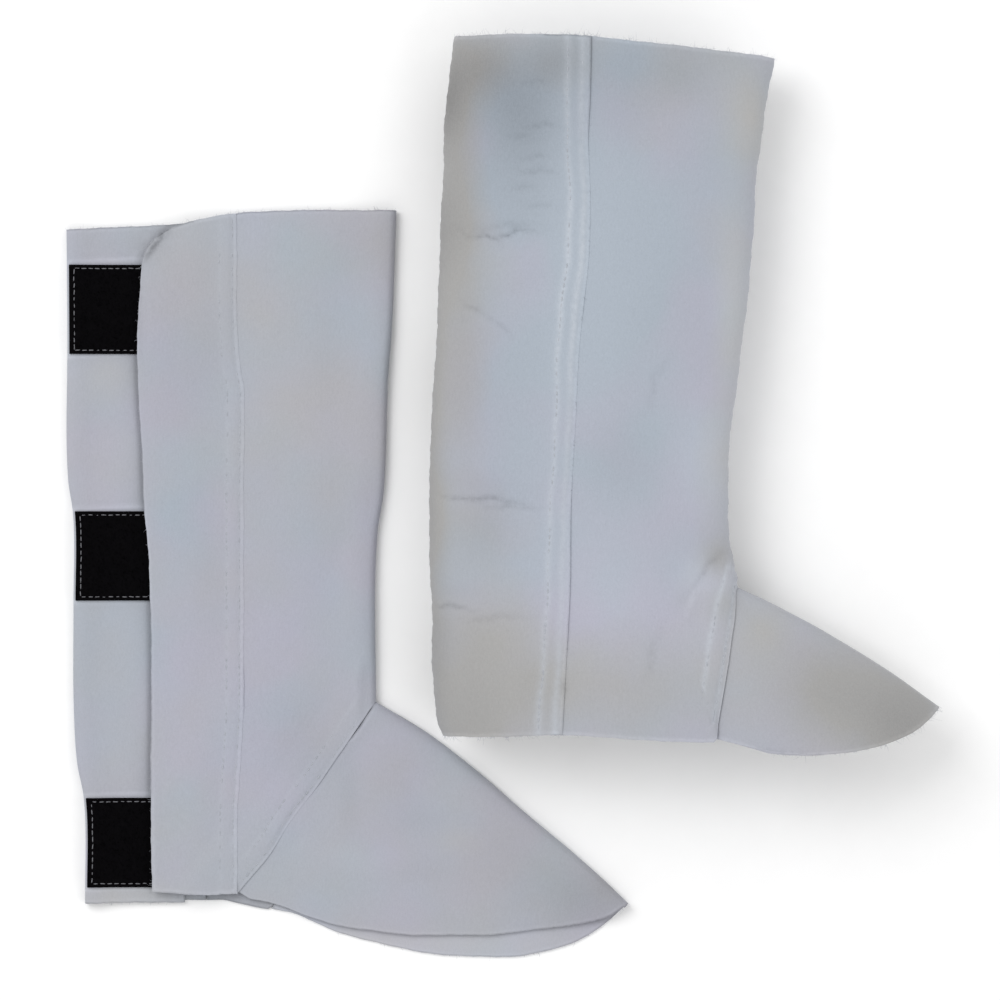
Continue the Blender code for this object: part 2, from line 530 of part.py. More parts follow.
def build_worn_guard(leather, loop, hook, collection, parent):
    """The mirrored mate, closed and filled out."""
    sheet("worn_front_panel", worn_front_panel(), LEATHER, leather, collection, parent)
    sheet("worn_back_panel", worn_back_panel(), LEATHER, leather, collection, parent)
    sheet("worn_flap", worn_flap(), LEATHER, leather, collection, parent)
    sheet("worn_toe_piece", worn_toe_piece(), LEATHER, leather, collection, parent)
    for number, top in enumerate(BAND_TOPS, 1):
        loops = LOOP_FROM + LOOP_COLUMNS + WORN_TURN
        sheet(f"worn_loop_tape_{number}", worn_tape(loops, top, 1), TAPE, loop, collection, parent)
        hooks = np.linspace(along(top - TAPE_HEIGHT / 2, FLAP_EDGE) + HOOK_INSET, TAPES_TO, 3)
        sheet(f"worn_hook_tape_{number}", worn_tape(hooks, top, 2), TAPE, hook, collection, parent)


def bounds(collection):
    """Lowest and highest corner of the finished pieces, in metres."""
    bpy.context.view_layer.update()
    graph = bpy.context.evaluated_depsgraph_get()
    corners = []
    for piece in collection.objects:
        if piece.type == "MESH":
            shape = piece.evaluated_get(graph)
            corners += [shape.matrix_world @ Vector(corner) for corner in shape.bound_box]
    corners = np.array(corners)
    return corners.min(axis=0), corners.max(axis=0)


def plain_material(name, colour, roughness):
    """Matt, non-metallic material of one colour."""
    material = bpy.data.materials.new(name)
    material.use_nodes = True
    shader = material.node_tree.nodes["Principled BSDF"]
    shader.inputs["Base Color"].default_value = colour
    shader.inputs["Roughness"].default_value = roughness
    shader.inputs["Metallic"].default_value = 0.0
    return material


def main():
    for thing in list(bpy.data.objects):
        bpy.data.objects.remove(thing)
    collection = bpy.data.collections.new("welding_leg_guards")
    bpy.context.scene.collection.children.link(collection)
    pair = bpy.data.objects.new("pair", None)
    collection.objects.link(pair)
    leather = plain_material("split_leather", LEATHER_COLOUR, 0.9)
    loop = plain_material("loop_tape", LOOP_COLOUR, 0.95)
    hook = plain_material("hook_tape", HOOK_COLOUR, 0.8)
    flat = bpy.data.objects.new("flat_guard", None)
    worn = bpy.data.objects.new("worn_guard", None)
    for guard in (flat, worn):
        collection.objects.link(guard)
        guard.parent = pair
    worn.location = (WORN_PLACE[0] * MM, WORN_PLACE[1] * MM, 0)
    build_worn_guard(leather, loop, hook, collection, worn)
    worn.location.z = -bounds(collection)[0][2]
    build_flat_guard(leather, loop, hook, collection, flat)
    low, high = bounds(collection)
    pair.location = (-(low[0] + high[0]) / 2, -(low[1] + high[1]) / 2, 0)


main()
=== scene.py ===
"""Pair of welding leg guards, finished: soft split leather, hook and loop tape, thread and frayed edges.

One guard is laid out flat, closure up. Its mirrored mate is closed and filled out, and lies on its side.
Every sheet is a surface of two parameters on a grid, with the outline of the solid that it stands for. Plan
sizes are in millimetres: "across" runs from the back fold towards the toe, "height" from the hem to the top,
and "out" leaves the cloth. A surface is moved to its place in the row only when its mesh is made.
"""
import math
from collections import namedtuple

import bpy
import numpy as np
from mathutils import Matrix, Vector


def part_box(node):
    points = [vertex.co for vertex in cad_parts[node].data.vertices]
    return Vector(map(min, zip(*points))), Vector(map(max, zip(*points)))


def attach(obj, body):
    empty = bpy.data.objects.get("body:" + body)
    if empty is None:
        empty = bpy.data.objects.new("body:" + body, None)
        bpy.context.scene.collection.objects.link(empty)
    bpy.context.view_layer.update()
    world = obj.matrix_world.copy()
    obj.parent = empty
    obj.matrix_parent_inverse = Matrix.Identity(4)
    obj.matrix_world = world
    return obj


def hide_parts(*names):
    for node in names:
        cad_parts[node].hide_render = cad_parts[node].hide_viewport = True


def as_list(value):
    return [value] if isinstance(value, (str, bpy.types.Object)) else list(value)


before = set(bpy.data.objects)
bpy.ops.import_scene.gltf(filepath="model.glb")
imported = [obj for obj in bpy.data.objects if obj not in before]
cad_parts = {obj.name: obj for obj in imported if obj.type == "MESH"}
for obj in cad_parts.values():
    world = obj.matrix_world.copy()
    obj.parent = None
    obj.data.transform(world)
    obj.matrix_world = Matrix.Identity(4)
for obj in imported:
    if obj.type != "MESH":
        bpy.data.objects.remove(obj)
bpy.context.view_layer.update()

bl_info = {
    "name": "Welding leg guards",
    "version": (1, 0, 0),
    "blender": (4, 5, 0),
    "location": "View3D > Sidebar > Leg guards",
    "description": "Builds a pair of split leather leg guards with hook and loop closures",
    "category": "Add Mesh",
}

MM = 0.001

# ---- stock
LEATHER = 1.5                      # split leather wall
TAPE = 1.5                         # hook or loop tape with its backing
GAP = 0.3                          # air between two pieces that lie on each other
SEAM_GAP = 0.35                    # air where two folded edges meet
LAYER = LEATHER + GAP              # rise from one layer's middle to the next
FLOOR_LAYER = LEATHER / 2          # middle of the layer that lies on the floor
TAPE_HEIGHT = 50.0                 # standard 50 mm tape
LOOP_FROM = 2.6                    # loop tape starts this far round from the back fold
TAPES_TO = 61.0                    # across: where loop and hook tapes end beneath the flap
UNDERLAP_TO = 64.0                 # across: the underlap's free edge
HOOK_INSET = 4.0                   # hook tape starts this far inside the flap's free edge
SEAM_LAP = 12.0                    # width of a lapped, double-stitched seam
BAND_TOPS = (358.0, 220.0, 59.5)   # upper edges of the three tapes

# ---- laid guard: outlines
BACK_FOLD = (  # height, across
    (0, 8.1), (59, 7.4), (79, 3.7), (108, 1.8), (169, 1.6), (218, 1.4), (238, -1.4), (317, -1.8), (378, -2.3))
SHIN_FOLD = (  # height, across
    (0, 171.1), (114, 171.1), (208, 172.0), (230, 175.3), (295, 178.0), (323, 180.1), (389, 182.6))
FLAP_EDGE = (  # height, across
    (7, 46.0), (59, 45.3), (188, 44.5), (220, 41.9), (252, 40.3), (306, 37.7), (331, 38.4), (359, 40.3))
FLAP_SEAM = (  # height, across: the flap's edge over the front panel
    (6, 93.5), (45, 93.5), (115, 97.0), (225, 97.0), (285, 97.5), (305, 94.5), (388, 93.0))
FLAP_TOP = (  # across, height, with the rounded corner
    (37.0, 355), (40.3, 358.8), (41.4, 363), (43.6, 367.6), (47.5, 372.4), (53.6, 376.8), (64.4, 381.3),
    (96.6, 387.3), (110, 388.2))
PANEL_TOP = (  # across, height of the front panel
    (60, 381.5), (96.6, 387.3), (147, 388.7), (183, 388.4))
BACK_TOP = ((-3, 377.7), (60, 380.9), (80, 382.0))  # across, height of the back panel
FLAP_HEM = ((40, 7.6), (46, 7.2), (58, 6.3), (78, 5.6), (90, 5.8), (110, 6.1))    # across, height
UNDERLAP_HEM = ((0, 0.3), (70, 1.0))  # across, height
FAR_HEM = (  # across, height of the lower layer, which shows as a strip beneath the flap's hem
    (0, 0.3), (40, 1.6), (64, 2.1), (76, 2.0), (85, 2.2), (91, 0.9), (100, -1.1), (106, -2.4), (112, -3.2),
    (130, -4.0))
TOE_SEAM = (  # across, height: the shaft's edge over the toe piece
    (60, -37), (93.6, 6), (113.2, 29.9), (121.9, 44.6), (138.5, 66.2), (149, 81.4), (171.2, 113.9))
FAR_TOE_SEAM = ((95, -37), (112, -3.2), (125, 24), (145, 63), (160, 93), (171.2, 113.9))
NEAR_TOE_HEM = (  # across, height
    (93.6, 4.6), (115.9, -0.5), (130.4, -6.0), (151.8, -12.4), (165.6, -14.6), (196.9, -17.5), (228.2, -17.5),
    (259.4, -14.6), (287.5, -10.6), (303.1, -6.0), (312.3, 0.5))
FAR_TOE_HEM = (  # across, height
    (112, -3.4), (121.9, -4.6), (150, -15.9), (181.2, -24.1), (204.7, -28.3), (220.3, -29.5), (243.8, -29.8),
    (267.3, -26.4), (282.9, -21.4), (295.3, -14.3), (305, -6.5), (312.3, 0.5))
TOE_RIDGE_BOW = (  # share of the ridge from ankle to tip, bow of the ridge
    (0, 0), (0.18, 4.4), (0.38, 5.1), (0.57, 3.7), (0.76, 3.0), (0.9, 1.7), (1, 0))
ANKLE = (171.2, 113.9)             # across, height of the ankle point
TIP = (312.3, 0.5)                 # across, height of the toe's tip
TOE_LEAN = np.array([0.82, -0.57])  # direction in plan from the shaft across the toe seam
FAR_SEAM = 76.0                    # the plain side's seam, hidden underneath
NEAR_PANEL_EDGE = 84.0             # the front panel's edge beneath the flap
SHIN_BEND = 3.0                    # radius of the shin fold, at the middle of the leather
BACK_BEND = 2.2                    # radius of the back fold
SHIN_SWELL = 14.0                  # how far the shin fold holds the leather up
BACK_SWELL = 10.0
TOE_SWELL = 24.0
TIP_SWELL = 13.0
LAP_END = (2.0, 12.0)              # distances past a lap over which the upper sheet comes down
FLAP_SPARE = 5.0                   # the flap comes down this much later than the sheet beneath it
FLAP_FOLLOWS = (2.0, 12.0)         # distances from its lapped edge over which it no longer follows that sheet
FOLD_END = (2.0, 8.0)              # distances from the shin fold over which the lap's rise starts
HELD_PAST = 3.0                    # a tape holds the flap fully up this far past its own edges
HELD_FADE = 26.0                   # and partly over this distance
SAG = 0.42                         # share of the flap's rise that is left between the tapes
UNDERLAP_END = (0.0, 29.0)         # distances past the underlap over which the flap comes down
CORNER_LIFT = 3.4                  # rise of the flap's rounded corner
CORNER_SLOPE = 0.6                 # height over across of the line from which the corner rises
CORNER_HEIGHTS = (330.0, 362.0)    # heights of that line at across 0, where the rise starts and is whole
CORNER_ACROSS = (44.0, 70.0)       # across: where the rise starts to fade and is gone
HOOK_MARGIN = 1.0                  # hook tapes are this much lower than loop tapes at each end
HOOK_CLEAR = 2.5                   # least distance of a hook tape from the flap's corner
TOE_LAP_START = (9.0, 22.0)        # distances inside the shin fold over which the toe piece's lap starts
FAN = 0.8                          # power by which the toe piece's lines fan out along the hem
CORNER_STEP = 6.0                  # across: first step of those lines from the corner at the hem
SEAM_LEVEL = 60.0                  # height at which a column's place over the toe seam is taken
TOP_LEVEL = 385.0                  # height at which a column's place at the top edge is taken
LIFT_FROM = 0.4                    # waves and creases start this far above the layer on the floor
TOE_SEAM_FROM = (88.0, 93.0)       # across: where the shaft's edge over the toe comes out from under the flap
EVEN_FROM = (150.0, 165.0)         # across: where that edge's unevenness fades before the shin fold
BENEATH_SHAFT = (-9.0, -1.0)       # heights over the toe seam where the toe piece passes under the shaft
SETTLES = (0.02, 0.2)              # shares of a toe line's place over which the hem's unevenness starts

# ---- worn guard: outlines in side view
WORN_BACK = (  # height, across
    (0, 9.5), (9, 5.4), (35, 2.6), (67, 1.4), (139, 0.0), (234, 5.0), (355, 9.8), (389, 14.0))
WORN_FRONT = (  # height, across; below the ankle the walls run on to the open instep
    (0, 215), (20, 205), (40, 195), (60, 183), (75, 174.5), (85, 170.4), (100, 166.6), (112, 164.4),
    (143, 164.2), (234, 173.6), (337, 182.9), (377, 190.1))
WORN_HALF_DEPTH = (  # height, half of the hollow section's depth
    (0, 31.0), (40, 30.0), (85, 27.5), (140, 26.0), (234, 25.5), (330, 22.5), (389, 20.5))
WORN_TOP = ((0, 388.6), (14, 388.6), (73, 388.2), (130, 382.8), (191, 376.6))  # across, height
WORN_HEM = ((0, 4.5), (10, 2.7), (45, 3.4), (73, 4.4), (115, 1.6), (160, 0.0))  # across, height
WORN_SEAM = (  # height, across
    (0, 72.5), (40, 74.6), (84, 76.9), (128, 77.4), (173, 79.8), (218, 82.2), (241, 84.6), (265, 87.2),
    (300, 88.0), (330, 87.0), (355, 88.0), (389, 88.6))
WORN_TOE_SEAM = (  # girth from the shin's middle, height
    (0, 85), (5, 82.5), (10.5, 75), (22, 60), (35, 40), (45.5, 20), (51.5, 8), (54.5, 2), (62, -20))
WORN_TOE_HEM = (  # across, height
    (150, 0.2), (170, -2.2), (200.8, -6.2), (225, -5.2), (246.3, -1.8), (268, 7.2), (281.1, 17.8))
TOE_PLAN = (185.0, 96.0, 37.0)     # worn toe seen from above: middle, length ahead of it, half width
TOE_GIRTH = 54.5                   # girth from the shin's middle to the corner of the worn toe piece
TOE_FULLNESS = 4.0                 # how far the worn toe piece swells between seam and hem
TOE_DEPTH = 1.6                    # layers by which the worn toe piece lies inside the shaft
TOE_FORWARD = (0.25, 0.1, 0.75)    # direction of the swell: ahead, up at the sides, more at the middle
TOE_ROUND = 60.0                   # mean radius of its hem, by which the hem's unevenness runs
TOE_SEAM_TO = (52.0, 56.0)         # girths from the shin's middle over which the seam over the toe ends
NOMINAL = (84.0, 25.5)             # half width and half depth by which the girth is divided
WORN_TURN = 4.4                    # how far the worn guard's closure is turned round from its back
WORN_LAP_END = (1.0, 11.0)         # distances past the plain seam's lap over which the back panel comes down
WORN_PLACE = (202.0, 93.5, 37.51)  # the worn guard's back, hem and middle plane in the laid guard's plan

# ---- grids
FINE_EDGE = 14.0                   # a grid is twice as fine over this width beside a lapped edge
FINE_HEM = 24.0                    # and over this height at the hem
SHAFT_HEIGHT = 380.0               # heights and widths by which the rows and columns are divided
FLAP_WIDTH = 56.0
HOOK_WIDTH = 15.0
TOE_LENGTH = 150.0
WORN_BACK_WIDTH = 150.0
WORN_FRONT_WIDTH = 215.0
WORN_TOE_LENGTH = 95.0
HIDDEN_COARSER = 1.2               # steps of a fold's lower half, in steps of its upper half
BACK_COARSER = 2.0                 # the same on the back panel
BACK_FINER = 0.75                  # steps of the laid back panel, which has the rubbed bands
FLAP_COARSER = 1.6                 # steps of the worn flap, which lies underneath
BEND_POINTS = 9                    # columns round a U-bend
NEARBY = 0.5                       # half of the distance over which the slope of the worn toe's seam is taken
SHORT_WAY = 0.2                    # and the way round over which the slope of the underlap is
ROW_STEP = 1.5                     # steps along a seam's stitched rows
FINE_ROW_STEP = 1.0                # and along rows that turn or are short
SECTION_POINTS = 1621              # points over one and a half turns of the worn guard's section

# ---- soft relief, and lines of painted shade: height, across, half length, half width, depth, tilt in degrees, wander
LAID_CREASES = (
    (211, 159, 26, 8, 1.1, 62, 1.0),
    (150, 160, 40, 9, -0.6, 84, 2.0),
    (300, 150, 60, 10, 0.5, 88, 3.0),
    (34, 127, 17, 7, 0.7, 38, 0.0),
    (29, 156, 24, 8, -0.7, 27, 0.0),
    (62, 205, 34, 9, 0.7, -34, 2.0),
    (40, 240, 30, 8, -0.5, -28, 2.0),
    (8, 262, 26, 8, 0.7, -30, 0.0),
    (236, 70, 26, 7, -0.5, 8, 1.5),
    (120, 74, 30, 9, 0.5, 70, 2.0),
    (340, 66, 24, 8, 0.4, 30, 1.0),
    (318, 20, 22, 9, -0.5, 4, 0.0),
    (262, 22, 18, 8, 0.5, 12, 0.0),
    (118, 24, 22, 9, -0.55, -6, 0.0))
WORN_CREASES = (
    (88, 157, 24, 9, 2.4, 56, 0.0),
    (104, 163, 8, 6, -1.0, 20, 0.0),
    (135, 34, 30, 8, 1.6, -8, 0.0),
    (79, 14, 16, 7, 1.5, -4, 0.0),
    (277, 40, 26, 8, 1.3, 3, 0.0),
    (246, 52, 30, 9, 1.2, 28, 0.0),
    (345, 48, 24, 10, 0.9, 12, 0.0),
    (200, 120, 40, 12, 0.7, 70, 2.0),
    (52, 110, 30, 10, 0.8, -12, 2.0),
    (52, 205, 30, 8, 0.8, -34, 1.0))
WORN_LINES = (  # cracks and short puckers of the grain, which also get painted shade and dirt
    (277, 29, 9, 1.3, 0.7, -12, 1.3),
    (279, 46, 12, 1.3, 1.0, 6, 1.5),
    (283, 40, 18, 2.0, 0.35, 3, 0.8),
    (238, 24, 6, 1.5, 0.45, -30, 0.5),
    (229, 38, 8, 1.5, 0.45, -40, 0.6),
    (362, 58, 8, 1.5, 0.3, 2, 0.6),
    (338, 62, 9, 1.6, 0.45, 0, 0.8),
    (332, 50, 7, 1.7, 0.3, -4, 0.6),
    (321, 58, 7, 1.5, 0.4, 6, 0.7),
    (313, 60, 10, 1.6, 0.5, -3, 0.9),
    (304, 50, 7, 1.7, 0.35, 4, 0.6),
    (294, 60, 8, 1.6, 0.35, -3, 0.6),
    (133, 30, 22, 1.4, 0.9, -7, 1.3),
    (129, 43, 12, 1.5, 0.5, -2, 0.8),
    (74, 9, 12, 1.4, 0.9, -5, 0.9),
    (68, 36, 16, 1.8, 0.4, 2, 1.0),
    (94, 152, 14, 1.8, 0.7, 50, 0.8),
    (80, 145, 11, 2.0, -0.5, 60, 0.6),
    (48, 122, 12, 2.4, 0.35, 74, 1.0),
    (196, 124, 16, 2.6, 0.3, 66, 2.0),
    (30, 74, 5, 1.6, 0.7, 84, 0.5))
LAID_LINES = (  # shade along the flap's rounded corner and its free edge, and light beside the corner
    (373.5, 51.2, 11, 2.4, 1.35, 52, 0.2),
    (365.5, 45.2, 8, 1.6, 0.9, 55, 0.1),
    (369.5, 40.6, 11, 2.8, -0.5, 53, 0.0),
    (331, 38.4, 22, 1.4, 0.8, 90, 0.0))
HIDDEN_CREASES = (  # the worn guard's closure side
    (92, 150, 22, 9, 1.4, 52, 0.0),
    (142, 132, 26, 9, 0.9, -10, 0.0),
    (250, 140, 28, 9, 0.8, 14, 0.0),
    (312, 128, 20, 8, 0.7, -6, 0.0))
WAVES = (  # cycles per metre across, along the height, phase, share
    (11.0, 4.0, 0.4, 0.32), (-6.0, 13.0, 1.9, 0.26), (19.0, -9.0, 4.1, 0.18), (7.0, 23.0, 2.7, 0.14),
    (-27.0, 17.0, 5.2, 0.10))
LAID_WAVE = 1.1                    # greatest rise of the laid leather's soft waves
WORN_WAVE = 0.7                    # half height of the worn leather's soft waves
RAGGED = 0.32                      # half height of a raw edge's unevenness
BACK_UNEVEN = 1.6                  # how much more uneven the worn guard's back and shin folds are
RAGGED_WAVES = (  # cycles per millimetre, phase, share
    (0.021, 0.3, 0.4), (0.067, 1.7, 0.3), (0.17, 4.0, 0.2), (0.41, 2.2, 0.1))
PHASES = {  # where each raw edge's unevenness starts
    "flap edge": 0.0, "front hem": 0.7, "flap hem": 1.2, "top": 2.0, "back hem": 3.1, "toe hem": 3.3,
    "flap seam": 4.4, "back top": 5.0, "worn back": 0.6, "worn toe": 0.9, "worn fold": 1.1, "worn front": 1.9,
    "worn flap": 3.7}
WANDER = ((1.0, 3.1, 0.6), (0.35, 8.7, 0.0))  # a crease's line: share, rate, phase
ROW_WANDER = ((0.6, 0.045, 0.4), (0.3, 0.17, 1.0))  # the worn seam's rows: swing, rate, phase
WORN_WAVE_SHIFT = (2.0, 40.0)      # the worn guard's waves: how much out shifts them, and from what height
WORN_WAVE_FROM = (-27.0, -12.0)    # out over which they start above the floor
FOLD_WIDTH = 7.0                   # half width in out of the worn guard's uneven folds

# ---- tone: height, across, half height, half width, warmth, teal (lavender below 0), lighter or darker
LAID_TONES = (
    (332, 107, 20, 16, 0.25, -0.1, 0.015),
    (272, 132, 30, 30, 0.28, 0.0, 0.03),
    (215, 62, 34, 18, -0.45, 0.5, -0.04),
    (368, 140, 20, 24, 0.0, 0.5, -0.01),
    (372, 172, 22, 16, 0.2, -0.2, -0.05),
    (205, 166, 40, 7, -0.1, -0.3, -0.06),
    (120, 110, 60, 50, -0.2, -0.35, 0.0),
    (310, 60, 50, 22, 0.0, -0.3, -0.07),
    (92, 130, 26, 22, 0.0, 0.1, -0.07),
    (300, 20, 40, 16, 0.1, 0.0, -0.02),
    (296, 18, 14, 20, 0.1, 0.0, 0.04),
    (125, 20, 30, 18, 0.0, -0.1, -0.01),
    (368, 25, 14, 24, 0.0, 0.1, -0.05),
    (4, 28, 8, 30, 0.5, -0.1, 0.06),
    (-22, 180, 8, 60, 0.25, 0.0, 0.03),
    (64, 214, 20, 18, 0.15, -0.2, 0.03),
    (72, 182, 18, 14, 0.15, -0.25, -0.02),
    (25, 160, 8, 16, 0.0, 0.0, 0.04),
    (36, 217, 8, 12, 0.25, 0.0, 0.03),
    (48, 194, 9, 15, 0.0, 0.0, -0.035),
    (60, 156, 20, 6, 0.0, 0.1, -0.045),
    (18, 196, 7, 16, 0.0, 0.0, -0.03),
    (30, 250, 24, 24, 0.25, 0.0, -0.04),
    (2, 292, 24, 30, 0.2, 0.0, -0.16),
    (14, 306, 10, 10, 0.2, 0.0, -0.06))
WORN_TONES = (
    (345, 50, 28, 26, -0.4, 0.8, -0.26),
    (305, 46, 30, 24, -0.4, 0.7, -0.09),
    (300, 16, 60, 15, 0.75, -0.1, -0.13),
    (200, 18, 50, 14, 0.5, -0.2, -0.07),
    (372, 22, 22, 28, 0.6, 0.0, -0.20),
    (352, 6, 24, 12, 0.8, 0.0, -0.20),
    (376, 72, 18, 22, 0.0, 0.2, -0.13),
    (280, 4, 30, 8, 0.6, 0.0, -0.05),
    (118, 30, 24, 18, 0.35, 0.0, -0.09),
    (90, 150, 12, 12, 0.0, 0.0, 0.12),
    (240, 166, 50, 10, 0.2, 0.3, 0.08),
    (340, 176, 26, 12, 0.5, 0.4, 0.02),
    (30, 4, 40, 8, 0.0, 0.0, -0.05),
    (50, 176, 24, 20, 0.4, 0.3, 0.0),
    (376, 130, 26, 50, 0.1, 0.2, -0.08),
    (350, 104, 26, 22, 0.0, 0.0, -0.075),
    (152, 104, 28, 24, -0.2, 0.4, -0.08),
    (325, 150, 28, 24, -0.2, 0.4, -0.02),
    (250, 88, 80, 26, -0.9, 0.8, 0.03),
    (240, 120, 60, 30, -0.6, 0.5, -0.01),
    (200, 40, 60, 26, -0.5, 0.7, -0.04),
    (130, 100, 60, 40, -0.5, -0.1, 0.04),
    (200, -2, 170, 10, 1.0, 0.1, -0.10),
    (156, 154, 34, 20, 0.1, -0.2, 0.12),
    (60, 150, 24, 18, -0.1, -0.1, 0.05),
    (102, 158, 10, 9, 0.6, 0.2, -0.09),
    (78, 100, 26, 30, -0.2, -0.2, 0.05),
    (60, 26, 20, 26, 0.5, 0.1, -0.05),
    (30, 100, 24, 50, 0.5, 0.1, -0.03),
    (14, 24, 36, 26, 1.0, 0.1, -0.14),
    (64, 186, 14, 14, 0.3, 0.3, 0.02),
    (28, 218, 26, 30, 0.85, 0.0, -0.13),
    (8, 262, 30, 30, 0.85, 0.0, -0.25),
    (350, 6, 20, 16, 0.7, 0.5, -0.10),
    (282, 8, 26, 12, 0.8, 0.9, -0.07),
    (372, 34, 16, 16, 0.1, 0.3, -0.07),
    (372, 68, 14, 14, 0.1, 0.3, -0.07),
    (120, 2, 30, 8, 0.4, 0.4, -0.06),
    (58, 4, 26, 8, 0.0, 0.0, -0.06),
    (76, 161, 9, 9, 0.3, 0.6, -0.05),
    (90, 150, 10, 10, 0.0, 0.2, 0.05),
    (30, 60, 22, 14, 0.2, 0.1, -0.06),
    (372, 112, 16, 18, -0.3, 0.5, -0.04),
    (366, 138, 16, 14, 0.0, 0.0, -0.05),
    (345, 172, 26, 14, 0.2, 0.5, 0.05),
    (235, 166, 60, 10, 0.2, 0.2, 0.05))

LAID_UPPER = (1.25, 2.55)          # out over which the laid guard's upper side starts
WORN_UPPER = (3.0, 12.0)           # the same for the worn guard's plain side

# ---- sewing
EDGE_ROWS = (2.6, 9.6)             # the two stitched rows of a lapped seam, from the edge
PLAIN_ROWS = (4.0, 11.4)           # the same on the worn guard's plain side
ROW_WIDTH = 1.3                    # half width of the channel that a row pulls into the leather
ROW_DEPTH = 0.2
PUFF = 0.18                        # rise of the leather between the two rows
PUFF_WIDTH = 2.2
LAID_RELIEF = 0.35                 # share of that relief on the laid guard, which is pressed flat
RUB_WIDTH = 1.3                    # half width of the pale rub along a row
PLAIN_RUB_WIDTH = 1.9              # the same on the worn guard's plain side
PARED_FROM = 5.0                   # a lapped edge is pared thin over this width
PAINTED_SLOPE_LIGHT = 0.05                 # how much paler the flap is painted where it is pared along its seam: painted light against that slope's shade
LIP_SHADE = 0.045                  # how much less pale it is again at that seam's very edge: painted shade over the pale lip's painted highlight
LIP_WIDTH = (0.8, 2.4)             # distances from the edge over which that ends
PARED_TO = (0.08, 0.75)            # share of the wall left at an edge that lies close, and at one that gapes
CLOSES = 0.8                       # share of the air beneath a lapped edge that goes where it lies close
FAR = 1000.0                       # distance that stands for no lapped edge
FLAP_GAPE = (  # height, share by which the lapped edge gapes
    (0, 0.12), (60, 0.0), (104, 0.0), (112, 0.25), (128, 0.25), (138, 0.0), (300, 0.0), (388, 0.1))
TOE_GAPE = ((0, 0.5), (28, 0.3), (45, 0.0), (60, 0.03), (68, 0.3), (84, 0.45), (114, 0.3))
WORN_GAPE = (  # height, share
    (0, 0.2), (12, 0.35), (40, 0.2), (60, 0.5), (115, 0.5), (138, 0.2), (150, 0.0), (225, 0.0), (240, 0.15),
    (255, 0.0), (312, 0.0), (345, 0.5), (389, 0.9))
WORN_RUB = (  # height, share of the pale rub along the plain side's rows
    (0, 0.8), (30, 0.7), (60, 0.55), (140, 0.6), (200, 0.75), (235, 1.0), (270, 1.0), (300, 0.8), (330, 0.6),
    (360, 0.9), (389, 0.8))
WORN_TOE_GAPE = ((0, 0.0), (40, 0.0), (75, 0.12), (85, 0.2))
TAPE_CLOSES = (0.8, 4.0)           # how far a tape closes the flap's free edge, and how far past itself
TAPE_ROW = 2.1                     # a tape's stitched row, from its edge
BAND_PAST = 1.4                    # a paler band is painted this far past a tape's edges
BAND_WIDTH = 1.2
BAND_LIGHT = 0.18
EDGE_SHADE = 0.26                  # shade on the underlap just outside the flap's free edge
EDGE_SHADE_AT = 1.0                # its middle, out from that edge
EDGE_SHADE_WIDTH = 1.6
EDGE_SHADE_LOW = (4.0, 10.0)       # heights over which it starts
EDGE_SHADE_HIGH = (335.0, 352.0)   # and ends, below the flap's corner
LOWEST_ROW = 4.0                   # least height of a stitch over the worn toe piece
LAID_ROWS = (8.0, 384.0)           # heights at which the laid guard's seam rows start and end
WORN_ROWS = (7.0, 382.0)           # the same on the worn guard
FOLD_CLEAR = 5.5                   # a row over the toe piece ends this far before the ankle
FLAP_CLEAR = 1.0                   # and starts this far from the flap
RIDGE_CLEAR = 0.06                 # share of the worn toe's seam that has no stitches at the ridge, each way
HEM_PAST = 8.0                     # girth past its corner as far as which the worn toe's rows may run

# ---- how one stitch, fibre or loop of pile differs from the next, in mm; a spread is a standard deviation
CUT_ROUNDING = 0.18                # rounding of a raw edge, in walls
CUT_ANGLE = math.radians(50)       # an edge that turns by more than this is a raw one
STITCH_RINGS, STITCH_SIDES = 7, 6
STITCH_SLIDES = 0.08               # spread of a stitch's place along its row
STITCH_LENGTHS = (0.94, 1.05)      # its least and greatest length, in the length that is set
STITCH_ASIDE = 0.06                # spread of its place across the row
STITCH_TURNS = 0.16                # spread of how far it runs across the row
STITCH_ARCH = (1.7, 1.0)           # rise of its middle over its ends, and depth of those, in half threads
STITCH_ENDS = 0.72                 # thickness of its ends, in its middle's
FIBRE_RINGS, FIBRE_SIDES = 6, 3    # of a fibre and of a loop of pile
FIBRE_RADIUS = 0.1
FIBRE_TAPER = 0.75                 # share of that lost at the fibre's end
FIBRE_RADII = (0.7, 1.2)           # its least and greatest thickness, in the usual one
FIBRE_ROOTS = 0.42                 # roots lie this far from the wall's middle, in walls
FIBRE_ROOT = 0.5                   # a fibre starts this far inside, and is at least this long
FIBRE_FEW_LONG = 2.5               # power that makes long fibres few
FIBRE_SPREAD = 0.45                # spread of its first direction
FIBRE_BEND = 0.55                  # spread of its bend
FIBRE_UP = (0.31, 0.22, 0.92)      # direction that hardly any fibre runs in
PILE_MARGIN = 0.25                 # loops stand this far inside a tape's edge, in steps of its grid
LOOP_HEIGHTS = (0.55, 1.15)        # least and greatest height of a loop, in the height that is set
LOOP_WIDTHS = (0.45, 0.95)         # least and greatest width
LOOP_LEANS = 0.35                  # spread of how far it leans
LOOP_ROOT = 0.08                   # depth of its ends in the tape
PRESSED = 0.8                      # share of its height that a loop loses beneath the flap
PRESSED_FROM = (-3.5, -1.0)        # distances from the flap's edge over which that starts
WORN_PILE = 0.8                    # height of the worn guard's pile, in the laid guard's
FRINGE_CLEAR = 0.1                 # no fibre lies lower than this over the floor
LAID_FRINGE = (  # sheet, which of its edges, fibres per mm, reach
    ("front", "top", 1.2, 1.8), ("back", "top", 0.8, 1.4), ("flap", "top", 1.2, 1.8),
    ("flap", "start", 0.9, 1.0), ("flap", "hem", 1.0, 1.5), ("back", "hem", 1.0, 1.5),
    ("toe", "top", 1.0, 1.5))
